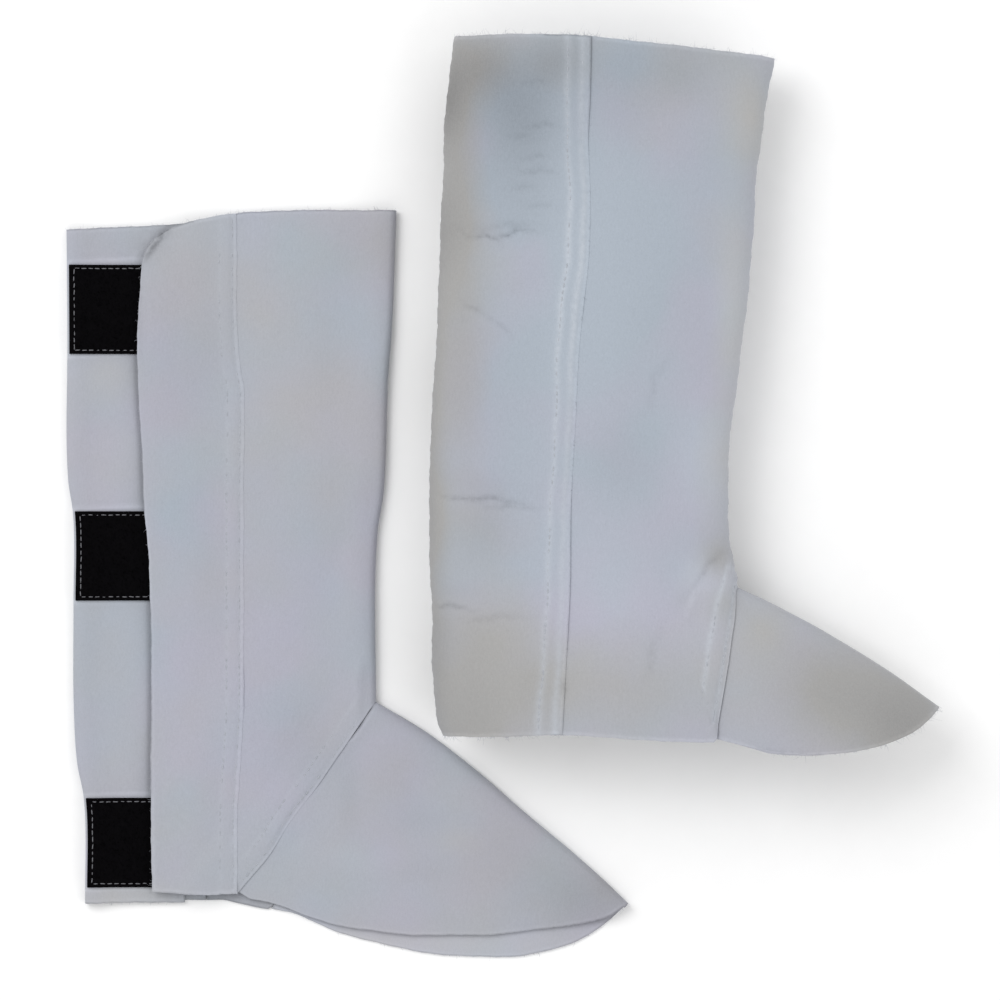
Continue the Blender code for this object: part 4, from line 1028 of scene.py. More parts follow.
def sheet_piece(name, sheet, wall, finishes, origin, rubbed=0.0, **values):
    """Sheet with its wall about its grid, a map of its cut and the values that its finish reads.

    The wall is pared at lapped edges. Edge is the distance from the nearest raw edge in metres, and rub is 1
    along a fully rubbed stitched row. For leather, crack is the depth in millimetres of a painted
    line: cracks in the grain, which hold painted shade and dirt, and the laid guard's lines of painted shade,
    which are painted light where below 0.
    """
    points = sheet.points
    rows, columns = points.shape[:2]
    corner = np.arange(rows * columns).reshape(rows, columns)
    faces = np.stack([corner[:-1, :-1], corner[:-1, 1:], corner[1:, 1:], corner[1:, :-1]], axis=-1)
    piece = new_piece(name, points.reshape(-1, 3), faces.reshape(-1, 4).tolist(), finishes, origin)
    wide, high = arc_of(points, 1), arc_of(points, 0)
    edge = np.minimum.reduce([wide, wide[:, -1:] - wide, high, high[-1:] - high])
    cut = np.stack([wide, high], axis=-1).reshape(-1, 2) * MM
    corners = np.empty(len(piece.data.loops), np.int32)
    piece.data.loops.foreach_get("vertex_index", corners)
    piece.data.uv_layers.new(name="cut").data.foreach_set("uv", cut[corners].ravel())
    every = 0 * points[..., 0]
    give_values(piece, rub=rubbed * sheet.rows + every, open=sheet.open + every, edge=edge * MM, **values)
    left = np.round(pared(sheet.away, sheet.gape) + every, 2).ravel()
    group = piece.vertex_groups.new(name="wall")
    for share in np.unique(left):
        group.add(np.nonzero(left == share)[0].tolist(), float(share), "REPLACE")
    thickness = piece.modifiers.new("wall", "SOLIDIFY")
    thickness.thickness = wall * MM
    thickness.offset = 0
    thickness.vertex_group = "wall"
    thickness.material_offset_rim = len(finishes) - 1
    rounding = piece.modifiers.new("cut_edge", "BEVEL")
    rounding.width = CUT_ROUNDING * wall * MM
    rounding.segments = 2
    rounding.limit_method = "ANGLE"
    rounding.angle_limit = CUT_ANGLE
    return piece


def declare(node, cut, held, rests_on):
    """The sheet stands for its solid, which is hidden."""
    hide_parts(node)
    width, length, area = cut if len(cut) == 3 else (*cut, cut[0] * cut[1])
    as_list(rests_on)


def at_arc(where, arc, values):
    """Rows of values at distances along a path."""
    return np.stack([np.interp(where, arc, column) for column in values.T], axis=-1)


def tubes(centres, radii, up, sides):
    """Many tubes at once, each a ring of sides carried along its own line and closed at both ends.

    Centres are (tube, ring, xyz). A ring's points stand round the line at a radius, in the plane across it.
    """
    run = unit(np.gradient(centres, axis=1))
    side = unit(np.cross(run, up))
    rise = np.cross(side, run)
    turn = (np.arange(sides) * 2 * math.pi / sides)[:, None]
    round_line = np.cos(turn) * side[:, :, None] + np.sin(turn) * rise[:, :, None]
    vertices = centres[:, :, None] + radii[..., None, None] * round_line
    index = np.arange(vertices[..., 0].size).reshape(vertices.shape[:3])
    ahead = np.roll(index, -1, axis=2)
    walls = np.stack([index[:, :-1], index[:, 1:], ahead[:, 1:], ahead[:, :-1]], axis=-1)
    faces = walls.reshape(-1, 4).tolist() + index[:, 0].tolist() + index[:, -1, ::-1].tolist()
    return vertices.reshape(-1, 3), faces


def stitched(paths, sewing, thickness, sunk, seed):
    """Rows of stitches along paths of points and normals.

    A stitch is a round thread along its piece of the path. Its middle stands up by a half sine, and its ends
    sink in at the needle holes. Each is a little out of line, and some sink in by up to a depth in mm.
    """
    draw = np.random.default_rng(seed)
    length, gap, radius = sewing.stitch / MM, sewing.gap / MM, thickness / MM / 2
    share = np.linspace(0, 1, STITCH_RINGS)
    over, under = STITCH_ARCH
    lines, ups = [], []
    for points, normals in paths:
        arc = arc_of(points)
        count = int(arc[-1] // (length + gap))
        start = (np.arange(count) + 0.5) * arc[-1] / count - length / 2
        start = start + draw.normal(0, STITCH_SLIDES, count)
        where = start[:, None] + length * share * draw.uniform(*STITCH_LENGTHS, (count, 1))
        centre, up = at_arc(where, arc, points), unit(at_arc(where, arc, normals))
        aside = unit(np.cross(np.gradient(centre, axis=1), up))
        arch = np.sin(math.pi * share) ** 0.5
        skew = draw.normal(0, STITCH_ASIDE, (count, 1))
        skew = skew + draw.normal(0, STITCH_TURNS, (count, 1)) * (share - 0.5)
        rise = radius * (over * arch - under) - sunk * draw.random((count, 1)) ** 2
        lines.append(centre + up * rise[..., None] + aside * skew[..., None])
        ups.append(up)
    centres, up = np.concatenate(lines), np.concatenate(ups)
    radii = radius * (STITCH_ENDS + (1 - STITCH_ENDS) * np.sin(math.pi * share)) + 0 * centres[..., 0]
    return tubes(centres, radii, up, STITCH_SIDES)


def raw_edge(points, which):
    """A sheet's edge, and the direction out of the sheet along it."""
    turned = {"hem": points, "top": points[::-1], "start": points.swapaxes(0, 1)}[which]
    return turned[0], unit(turned[0] - turned[1])


def frayed(edges, sewing, floor, seed):
    """Loose fibres along raw edges: each leaves the cut, turns by its own amount and tapers to its end.

    Edges are (path, direction out, fibres per mm, reach in mm). No fibre goes below the floor.
    """
    draw = np.random.default_rng(seed)
    share = np.linspace(0, 1, FIBRE_RINGS)[:, None]
    lines = []
    for path, outward, per_mm, reach in edges:
        arc = arc_of(path)
        count = int(arc[-1] * per_mm * sewing.fringe)
        where = draw.uniform(0, arc[-1], count)
        root, way = at_arc(where, arc, path), unit(at_arc(where, arc, outward))
        through = unit(np.cross(way, at_arc(where, arc, np.gradient(path, axis=0))))
        beside = through * draw.uniform(-FIBRE_ROOTS, FIBRE_ROOTS, (count, 1)) * LEATHER
        root = root + beside - FIBRE_ROOT * way
        length = FIBRE_ROOT + reach * draw.random((count, 1, 1)) ** FIBRE_FEW_LONG
        start = unit(way + draw.normal(0, FIBRE_SPREAD, (count, 3)))[:, None]
        bend = draw.normal(0, FIBRE_BEND, (count, 1, 3))
        lines.append(root[:, None] + length * (share * start + share ** 2 * bend))
    centres = np.concatenate(lines)
    centres[..., 2] = np.maximum(centres[..., 2], floor)
    radii = FIBRE_RADIUS * (1 - FIBRE_TAPER * share[:, 0]) * draw.uniform(*FIBRE_RADII, (len(centres), 1))
    return tubes(centres, radii, FIBRE_UP, FIBRE_SIDES)


def on_sheet(points, row, column):
    """Position, normal and run of a sheet at fractional rows and columns."""
    i, j = row.astype(int), column.astype(int)
    corner, beside, above = points[i, j], points[i, j + 1], points[i + 1, j]
    spot = corner + (beside - corner) * (column - j)[:, None] + (above - corner) * (row - i)[:, None]
    return spot, unit(np.cross(beside - corner, above - corner)), unit(beside - corner)


def clear_of_flap(spot):
    """Share of its height that a loop of pile keeps: all of it in the open, and little beneath the flap."""
    return 1 - PRESSED * smooth(spot[:, 0] - along(spot[:, 1], FLAP_EDGE), *PRESSED_FROM)


def piled(tapes, facing, per_mm2, height, seed):
    """Pile of small thread loops over tapes: each an arch over a random spot, leaning its own way.

    Arches stand on the side that faces outwards, and are pressed low where the flap covers them.
    """
    draw = np.random.default_rng(seed)
    share = np.linspace(0, 1, FIBRE_RINGS)[:, None]
    lines, ups = [], []
    for points in tapes:
        count = int(TAPE_HEIGHT * TAPES_TO * per_mm2)
        row, column = (draw.uniform(PILE_MARGIN, lines_of - 1 - PILE_MARGIN, count)
                       for lines_of in points.shape[:2])
        spot, normal, run = on_sheet(points, row, column)
        normal = normal * facing
        turn = draw.uniform(0, 2 * math.pi, (count, 1))
        reach = run * np.cos(turn) + np.cross(normal, run) * np.sin(turn)
        tall = height * draw.uniform(*LOOP_HEIGHTS, (count, 1)) * clear_of_flap(spot)[:, None]
        lean = unit(normal + LOOP_LEANS * draw.normal(0, 1, (count, 3)))
        root = spot + normal * (TAPE / 2 - LOOP_ROOT)
        wide = draw.uniform(*LOOP_WIDTHS, (count, 1))
        lines.append(root[:, None] + (wide * reach)[:, None] * (share - 0.5)
                     + (tall * lean)[:, None] * np.sin(math.pi * share))
        ups.append(np.broadcast_to(normal[:, None], lines[-1].shape))
    centres = np.concatenate(lines)
    aside = np.concatenate(ups) + 0.01    # a little off the normal, which an upright loop runs along
    return tubes(centres, np.full(centres.shape[:2], FIBRE_RADIUS), aside, FIBRE_SIDES)


def trim_piece(name, made, finish, origin, slot):
    """One piece of many small parts, such as stitches or fibres, given as vertices and faces."""
    piece = new_piece(name, *made, [finish], origin)


# ---- sewing lines: each is a path of points and the normals along it

UP = np.array([0.0, 0.0, 1.0])


def face_at(away, gape, relief=1.0):
    """Height of a sheet's pressed and pared face over the middle that it would have without its seam."""
    return pared(away, gape) * LEATHER / 2 - seam_press(away, gape, EDGE_ROWS, relief)


def laid_path(across, height, out):
    """Stitching on the laid guard's upper face, at a height over the floor."""
    points = settled(across, height, out)
    return points, np.broadcast_to(UP, points.shape)


def laid_seam_paths():
    """Two rows inside the flap's lapped edge, and two inside the shaft's edge over the toe piece."""
    paths = []
    height = spread(*LAID_ROWS, ROW_STEP)
    for inset in EDGE_ROWS:
        across, face = along(height, FLAP_SEAM) - inset, face_at(inset, along(height, FLAP_GAPE), LAID_RELIEF)
        paths.append(laid_path(across, height, flap_middle(across, height) + face))
        edge_across = spread(TOE_SEAM[1][0], ANKLE[0] - FOLD_CLEAR, FINE_ROW_STEP)
        edge = np.stack([edge_across, along(edge_across, TOE_SEAM)], axis=-1) - TOE_LEAN * inset
        edge = edge[edge[:, 0] > along(edge[:, 1], FLAP_SEAM) + FLAP_CLEAR]
        face = face_at(inset, along(edge[:, 1], TOE_GAPE), LAID_RELIEF)
        paths.append(laid_path(*edge.T, near_layer(*edge.T) + toe_lap_rise(*edge.T) + face))
    return paths


def tape_rows(width):
    """The four legs of the row round each tape, as distances round from the fold and heights."""
    for top in BAND_TOPS:
        left, right = LOOP_FROM + TAPE_ROW, width(top) - TAPE_ROW
        low, high = top - TAPE_HEIGHT + TAPE_ROW, top - TAPE_ROW
        corners = [(left, low), (left, high), (right, high), (right, low), (left, low)]
        for start, end in zip(corners, corners[1:]):
            yield np.linspace(start, end, round(math.dist(start, end) / FINE_ROW_STEP) + 1).T


def laid_tape_paths():
    """A row round each loop tape, drawn on the tape's outer face."""
    paths = []
    for girth, height in tape_rows(lambda top: TAPES_TO - float(along(top, BACK_FOLD))):
        points = loop_face(girth, height, LAYER + TAPE / 2)
        paths.append((points, unit(points - loop_face(girth, height, 0))))
    return paths


def worn_tape_paths():
    """A row round each of the worn guard's loop tapes."""
    return [worn_face(-girth - WORN_TURN, height, LAYER + TAPE / 2)
            for girth, height in tape_rows(lambda top: TAPES_TO)]


def worn_seam_paths():
    """Two rows inside the back panel's edge, the flap's lapped edge and the shaft's edge over the toe."""
    paths = []
    height = spread(*WORN_ROWS, ROW_STEP)
    for inset, plain in zip(EDGE_ROWS, PLAIN_ROWS):
        face, shift = face_at(inset, along(height, WORN_GAPE)), row_shift(height)
        paths.append(worn_face(worn_seam(height) - plain + shift, height, LAYER + face))
        girth = -along(height, FLAP_SEAM) + inset - shift
        paths.append(worn_face(girth, height, LAYER + flap_lift(-girth - WORN_TURN, height) + face))
        side, lap_girth, lap_height = toe_lap(np.array([inset]), FINE_ROW_STEP)
        girth, height_of = lap_girth[0], lap_height[0]
        for half in (side > RIDGE_CLEAR, side < -RIDGE_CLEAR):
            keep = half & (height_of > LOWEST_ROW) & (np.abs(girth - SHIN_GIRTH) < TOE_GIRTH + HEM_PAST)
            face = face_at(inset, along(height_of[keep], WORN_TOE_GAPE))
            paths.append(worn_face(girth[keep], height_of[keep], face))
    return paths


# ---- finishes

def add(tree, kind, inputs=None, **properties):
    """New node of a kind, with its own properties, and the values or sources of its inputs."""
    made = tree.nodes.new(kind)
    for name, value in properties.items():
        setattr(made, name, value)
    for name, value in (inputs or {}).items():
        if isinstance(value, bpy.types.NodeSocket):
            tree.links.new(value, made.inputs[name])
        else:
            made.inputs[name].default_value = value
    return made


def place_in(tree):
    """Object coordinates."""
    return add(tree, "ShaderNodeTexCoord").outputs["Object"]


def noise(tree, place, name, cells=None):
    """Noise of a kind in NOISES; cells per metre can come from a setting."""
    scale, detail, roughness = NOISES[name]
    values = {"Vector": place, "Scale": cells or scale, "Detail": detail, "Roughness": roughness}
    return add(tree, "ShaderNodeTexNoise", values).outputs["Fac"]


def between(tree, value, low, high, start=MIDDLE[0], end=MIDDLE[1]):
    """Value from its own range start..end to low..high."""
    values = {"Value": value, "From Min": start, "From Max": end, "To Min": low, "To Max": high}
    return add(tree, "ShaderNodeMapRange", values).outputs["Result"]


def maths(tree, how, *values):
    """Result of one sum on values or sockets."""
    return add(tree, "ShaderNodeMath", dict(enumerate(values)), operation=how).outputs[0]


def product(tree, first, *others):
    """Values multiplied together."""
    for other in others:
        first = maths(tree, "MULTIPLY", first, other)
    return first


def sum_of(tree, *terms):
    """Weighted sum of values: each term is a socket and its weight."""
    total = 0.0
    for value, weight in terms:
        total = maths(tree, "MULTIPLY_ADD", value, weight, total)
    return total


def mixed(tree, share, first, second, how="MIX"):
    """Colour mix; a Mix node's colours are its seventh and eighth inputs and its third output."""
    inputs = {0: share, 6: first, 7: second}
    return add(tree, "ShaderNodeMix", inputs, data_type="RGBA", blend_type=how).outputs[2]


def node_group(name, inputs, outputs):
    """Shader node group with named inputs of a kind, and float outputs."""
    tree = bpy.data.node_groups.new(name, "ShaderNodeTree")
    for label, kind in inputs:
        tree.interface.new_socket(label, in_out="INPUT", socket_type=kind)
    for label in outputs:
        tree.interface.new_socket(label, in_out="OUTPUT", socket_type="NodeSocketFloat")
    return tree, tree.nodes.new("NodeGroupInput").outputs, tree.nodes.new("NodeGroupOutput").inputs


def suede_group():
    """Suede: cloudy tone of the hide, short nap brushed along the height, and height of nap and pebble."""
    tree, given, gives = node_group(
        "suede", [("Place", "NodeSocketVector"), ("Nap", "NodeSocketFloat"), ("Cloud", "NodeSocketFloat")],
        ["Tone", "Hue", "Broken", "Nap", "Height"])
    place, nap, cloud = given["Place"], given["Nap"], given["Cloud"]
    brushed = add(tree, "ShaderNodeVectorMath", {0: place, 1: BRUSHED}, operation="MULTIPLY").outputs[0]
    aside = add(tree, "ShaderNodeVectorMath", {0: place, 1: ASIDE}, operation="ADD").outputs[0]
    made = {name: noise(tree, where, name, cells) for name, where, cells in (
        ("nap", place, nap), ("streak", brushed, nap), ("cloud", place, cloud), ("patch", place, None),
        ("pebble", place, None), ("wrinkle", brushed, None), ("hue", aside, None), ("broken", aside, None))}
    tree.links.new(made["hue"], gives["Hue"])
    tree.links.new(made["broken"], gives["Broken"])
    for label, parts in SUEDE.items():
        tree.links.new(sum_of(tree, *((made[name], weight) for name, weight in parts)), gives[label])
    return tree


def edge_shade_and_wear_group():
    """Edge shade and wear: how much lighter or darker raw edges and cracks are painted, and where rubbing
    has worn thin.

    An edge that lies open has a thin broken dark line of painted shade and a pale lip inside it, a painted
    highlight; one that lies close has the pale lip alone. Cracks are dark with painted shade and dirt, and
    the laid guard's lines are painted shade and light.
    """
    tree, given, gives = node_group(
        "edge_shade_and_wear", [(label, "NodeSocketFloat") for label in ("Edge", "Open", "Crack_And_Shade", "Broken")],
        ["Lighter", "Thinned"])
    edge, opened = given["Edge"], given["Open"]
    broken, thinned = (between(tree, given["Broken"], *RANGES[name]) for name in ("broken", "thinned"))
    lip = product(tree, between(tree, edge, 0.0, 1.0, *LIP_STARTS), between(tree, edge, 1.0, 0.0, *LIP_ENDS))
    closed = between(tree, opened, 1.0, 0.0, 0.0, CLOSED_TO)
    marks = {
        "cut": product(tree, between(tree, edge, 1.0, 0.0, *CUT_LINE), opened, broken),
        "lip": product(tree, lip, broken),
        "closed": product(tree, between(tree, edge, 1.0, 0.0, *CLOSED_LIP), closed, thinned),
        "crack": product(tree, given["Crack_And_Shade"], broken)}
    lighter = sum_of(tree, *((marks[mark], share) for mark, share in EDGE_SHARES.items()))
    tree.links.new(lighter, gives["Lighter"])
    tree.links.new(thinned, gives["Thinned"])
    return tree


def new_finish(name, **values):
    """Material and its shader, with the shader's plain values set; names use _ for the sockets' spaces."""
    finish = bpy.data.materials.new(name)
    finish.use_nodes = True
    shader = finish.node_tree.nodes["Principled BSDF"]
    for label, value in values.items():
        shader.inputs[label.replace("_", " ")].default_value = value
    return finish, finish.node_tree, shader.inputs


def give_colour(tree, sockets, colour, shade):
    """Base colour times a shade; a plain colour has three parts."""
    colour = colour if isinstance(colour, bpy.types.NodeSocket) else (*colour, 1)
    tree.links.new(mixed(tree, 1.0, colour, shade, "MULTIPLY"), sockets["Base Color"])


def give_bump(tree, sockets, height, strength, distance):
    """Surface height, as bump of a depth in metres."""
    bump = add(tree, "ShaderNodeBump", {"Height": height, "Strength": strength, "Distance": distance})
    tree.links.new(bump.outputs["Normal"], sockets["Normal"])


def leather_finish(name, suede, shade_and_wear, leather, nap_depth):
    """Split leather: lavender, teal and warm grey in clouds, darker between the fibres, with a soft sheen.

    Rubbed rows are paler, and raw edges and cracks get painted shade and highlight from the edge shade and
    wear.
    """
    finish, tree, sockets = new_finish(name, Specular_IOR_Level=0.22, Sheen_Weight=0.2, Sheen_Roughness=0.55,
                                       Sheen_Tint=(0.93, 0.95, 1.0, 1.0))
    warmth, teal, light, rub, edge, opened, crack = (
        add(tree, "ShaderNodeAttribute", attribute_name=label).outputs["Fac"]
        for label in ("warmth", "teal", "light", "rub", "edge", "open", "crack"))
    inputs = {"Place": place_in(tree), "Nap": 1 / leather.nap, "Cloud": 1 / leather.cloud}
    effect = add(tree, "ShaderNodeGroup", inputs, node_tree=suede).outputs
    # The edge group's Lighter paints shade and highlight at raw edges and lines; its Thinned wears the rubbed
    # rows.
    inputs = {"Edge": edge, "Open": opened, "Crack_And_Shade": crack, "Broken": effect["Broken"]}
    worn = add(tree, "ShaderNodeGroup", inputs, node_tree=shade_and_wear).outputs
    clouds = between(tree, effect["Tone"], *RANGES["clouds"])
    hue = between(tree, effect["Hue"], *RANGES["hue"])
    cool = mixed(tree, sum_of(tree, (hue, 1.0), (teal, 1.0)), (*leather.lavender, 1), (*leather.teal, 1))
    colour = mixed(tree, sum_of(tree, (clouds, 1.0), (warmth, 1.0)), cool, (*leather.warm, 1))
    colour = mixed(tree, product(tree, rub, worn["Thinned"]), colour, (*leather.rubbed, 1))
    fibres = between(tree, effect["Nap"], *RANGES["fibres"])
    give_colour(tree, sockets, colour, sum_of(tree, (fibres, 1.0), (light, 1.0), (worn["Lighter"], 1.0)))
    tree.links.new(between(tree, effect["Nap"], *RANGES["suede dull"]), sockets["Roughness"])
    give_bump(tree, sockets, effect["Height"], strength=0.6, distance=nap_depth)
    return finish


def thread_finish(name, colour):
    """Thread: two plies' light and dark as fine noise, a little shine."""
    finish, tree, sockets = new_finish(name, Roughness=0.55, Sheen_Weight=0.2)
    plies = noise(tree, place_in(tree), "plies")
    give_colour(tree, sockets, colour, between(tree, plies, *RANGES["plies"]))
    give_bump(tree, sockets, plies, strength=0.5, distance=0.0001)
    return finish


def pile_finish(name, colour):
    """Black pile: near-black fibres, a little grey where they catch light."""
    finish, tree, sockets = new_finish(name, Specular_IOR_Level=0.02)
    place = place_in(tree)
    fuzz, tufts = noise(tree, place, "fuzz"), noise(tree, place, "tufts")
    shade = between(tree, sum_of(tree, (fuzz, 0.7), (tufts, 0.3)), *RANGES["pile"])
    give_colour(tree, sockets, colour, shade)
    tree.links.new(between(tree, fuzz, *RANGES["pile dull"]), sockets["Roughness"])
    give_bump(tree, sockets, sum_of(tree, (fuzz, 0.6), (tufts, 0.6)), strength=0.8, distance=0.0005)
    return finish


def woven_finish(name, colour, pitch):
    """Woven tape with hooks in rows: raised dots on the cut's own map, every pitch each way."""
    finish, tree, sockets = new_finish(name, Specular_IOR_Level=0.3)
    cut = add(tree, "ShaderNodeUVMap", uv_map="cut").outputs["UV"]
    scaled = {0: cut, "Scale": 2 * math.pi / pitch}
    rows = add(tree, "ShaderNodeVectorMath", scaled, operation="SCALE").outputs[0]
    parts = add(tree, "ShaderNodeSeparateXYZ", {0: rows}).outputs
    dots = product(tree, *(maths(tree, "SINE", parts[i]) for i in (0, 1)))
    give_colour(tree, sockets, colour, between(tree, dots, *RANGES["hooks"]))
    tree.links.new(between(tree, dots, *RANGES["hooks dull"]), sockets["Roughness"])
    give_bump(tree, sockets, dots, strength=1.0, distance=0.0005)
    return finish


def paper_finish(name, colour):
    """Paper: plain, with a faint grain."""
    finish, tree, sockets = new_finish(name, Roughness=0.9, Specular_IOR_Level=0.1)
    grain = noise(tree, place_in(tree), "paper")
    give_colour(tree, sockets, colour, between(tree, grain, *RANGES["paper"]))
    return finish


def finish_of(context, name):
    """The named finish, made from the settings when it is first asked for."""
    if name in bpy.data.materials:
        return bpy.data.materials[name]
    scene = context.scene
    leather, sewing, tapes = scene.guard_leather, scene.guard_sewing, scene.guard_tapes
    if name == "thread_pale":
        return thread_finish(name, sewing.pale)
    if name == "thread_leather":
        return thread_finish(name, sewing.matched)
    if name == "loop_pile":
        return pile_finish(name, tapes.loop)
    if name == "hook_weave":
        return woven_finish(name, tapes.hook, tapes.pitch)
    groups = bpy.data.node_groups
    suede, shade_and_wear = groups.get("suede") or suede_group(), groups.get("edge_shade_and_wear") or edge_shade_and_wear_group()
    rougher = RAW_DEPTH if name == "leather_raw_edge" else 1.0
    return leather_finish(name, suede, shade_and_wear, leather, rougher * leather.depth)


# ---- settings

def colour_setting(name, description, value):
    """Colour that a user can change."""
    return bpy.props.FloatVectorProperty(
        name=name, description=description, subtype="COLOR", size=3, min=0.0, max=1.0, default=value)


def length_setting(name, description, value):
    """Length that a user can change, in metres."""
    return bpy.props.FloatProperty(
        name=name, description=description, unit="LENGTH", min=0.0, default=value, precision=5)


class GuardLeather(bpy.types.PropertyGroup):
    """Look and fineness of the leather."""
    lavender: colour_setting("Lavender grey", "Leather in one of its cool tones", (0.384, 0.386, 0.455))
    teal: colour_setting("Teal grey", "Leather in the other of its cool tones", (0.352, 0.395, 0.450))
    warm: colour_setting("Warm grey", "Leather where it is warm in tone", (0.375, 0.371, 0.366))
    rubbed: colour_setting("Rubbed leather", "Leather along the stitched rows", (0.50, 0.535, 0.585))
    nap: length_setting("Nap", "Spacing of the nap's fibres", 0.0008)
    cloud: length_setting("Clouds", "Spacing of the cloudy tone", 0.04)
    depth: length_setting("Depth", "Depth of nap and pebble", 0.00035)
    step: length_setting("Grid step", "Spacing of a laid sheet's grid", 0.002)
    fine: length_setting("Fine step", "Spacing of a worn sheet's grid", 0.0015)


class GuardTapes(bpy.types.PropertyGroup):
    """Look of the hook and loop tapes."""
    loop: colour_setting("Loop tape", "Colour of the loop tape's pile", (0.0022, 0.0020, 0.0024))
    hook: colour_setting("Hook tape", "Colour of the hook tape", (0.010, 0.010, 0.011))
    pile: length_setting("Pile", "Height of the loops above the tape", 0.0008)
    pitch: length_setting("Hook pitch", "Spacing of the hooks", 0.0018)
    step: length_setting("Tape step", "Spacing of a tape's grid", 0.0025)
    density: bpy.props.FloatProperty(
        name="Loops", description="Thread loops on a square millimetre", default=0.25, min=0.0, max=2.0)


class GuardSewing(bpy.types.PropertyGroup):
    """Thread, stitches and loose fibres."""
    pale: colour_setting("Tape thread", "Thread that shows on the black tapes", (0.14, 0.14, 0.155))
    matched: colour_setting("Seam thread", "Thread of the leather's seams", (0.42, 0.44, 0.48))
    thread: length_setting("Tape thread", "Thickness of the thread on the tapes", 0.00055)
    seam: length_setting("Seam thread", "Thickness of the thread in the leather's seams", 0.0005)
    stitch: length_setting("Stitch", "Length of a stitch", 0.0031)
    gap: length_setting("Stitch gap", "Leather between two stitches", 0.0006)
    fringe: bpy.props.FloatProperty(
        name="Fringe", description="Amount of loose fibres along raw edges", default=1.0, min=0.0, max=3.0)


class GuardStage(bpy.types.PropertyGroup):
    """Floor, light and camera."""
    floor: colour_setting("Floor", "Colour of the floor", (0.93, 0.93, 0.93))
    distance: length_setting("Camera height", "Height of the camera above the floor", 2.6)
    width: length_setting("Picture width", "Width of floor that the picture takes in", 0.561)
    key: bpy.props.FloatProperty(
        name="Key light", description="Power of the large light", unit="POWER", default=25.0, min=0.0)
    sky: bpy.props.FloatProperty(
        name="Fill", description="Strength of the even light all round", default=0.74, min=0.0)


# ---- operators

def build_leather(context, makers, tones, lines, upper, origin):
    """Leather sheets with their tones, and with lines of painted shade on their upper side, which starts over
    a range of out.

    Each row of makers is name, node, sheet, how rubbed its rows are, how much lighter its lower layer is, how
    it is held, which is not used, and what it rests on.
    """
    finishes = [finish_of(context, "split_leather"), finish_of(context, "leather_raw_edge")]
    for name, node, sheet, rubbed, under, held, rests_on in makers:
        across, height, out = np.moveaxis(sheet.points, -1, 0)
        warmth, teal, light = tone(across, height, tones)
        above = smooth(out, *upper)
        # under paints a lower layer darker, as painted shade beneath the upper layers' hem and partly the
        # inner face's own tone; on the toe piece it paints it lighter. sheet.light holds each sheet's own
        # painted light and shade.
        light = light + sheet.light + under * (1 - above)
        # Lines get painted shade in their troughs: the worn guard's cracks get dirt too, and the laid guard's
        # lines also get painted light.
        crack = crease_depth(across, height, lines) * above
        piece = sheet_piece(name, sheet, LEATHER, finishes, origin, rubbed,
                            warmth=warmth, teal=teal, light=light, crack=crack)
        declare(node, CUTS[name], held, rests_on)


class LEGGUARDS_OT_laid_leather(bpy.types.Operator):
    """Cut and lay out the flat guard's leather: front, back, flap and toe piece"""
    bl_idname = "leg_guards.laid_leather"
    bl_label = "Laid guard: leather"

    def execute(self, context):
        step = context.scene.guard_leather.step / MM
        front, back = laid_front_panel(step), laid_back_panel(BACK_FINER * step)
        flap, toe = laid_flap(step), laid_toe_piece(step)
        build_leather(context, [
            ("laid_front_leather", "flat_front_panel", front, 0.12, -0.14, "folded", ["laid_toe_leather"]),
            ("laid_back_leather", "flat_back_panel", back, 0.0, -0.06, "folded", []),
            ("laid_flap_leather", "flat_flap", flap, 0.12, 0.0, "laid", ["laid_front_leather"]),
            ("laid_toe_leather", "flat_toe_piece", toe, 0.0, 0.1, "folded", [])],
            LAID_TONES, LAID_LINES, LAID_UPPER, LAID)
        return {"FINISHED"}


class LEGGUARDS_OT_worn_leather(bpy.types.Operator):
    """Cut and close the worn guard's leather: front, back, flap and toe piece"""
    bl_idname = "leg_guards.worn_leather"
    bl_label = "Worn guard: leather"

    def execute(self, context):
        step = context.scene.guard_leather.fine / MM
        front, back = worn_front_panel(step), worn_back_panel(step)
        flap, toe = worn_flap(FLAP_COARSER * step), worn_toe_piece(step)
        build_leather(context, [
            ("worn_front_leather", "worn_front_panel", front, 0.45, 0.0, "stretched", ["worn_flap_leather"]),
            ("worn_back_leather", "worn_back_panel", back, 0.62, 0.0, "stretched", ["worn_flap_leather"]),
            ("worn_flap_leather", "worn_flap", flap, 0.4, 0.0, "stretched", []),
            ("worn_toe_leather", "worn_toe_piece", toe, 0.0, 0.0, "stretched", ["worn_front_leather"])],
            WORN_TONES, WORN_LINES, WORN_UPPER, WORN)
        return {"FINISHED"}


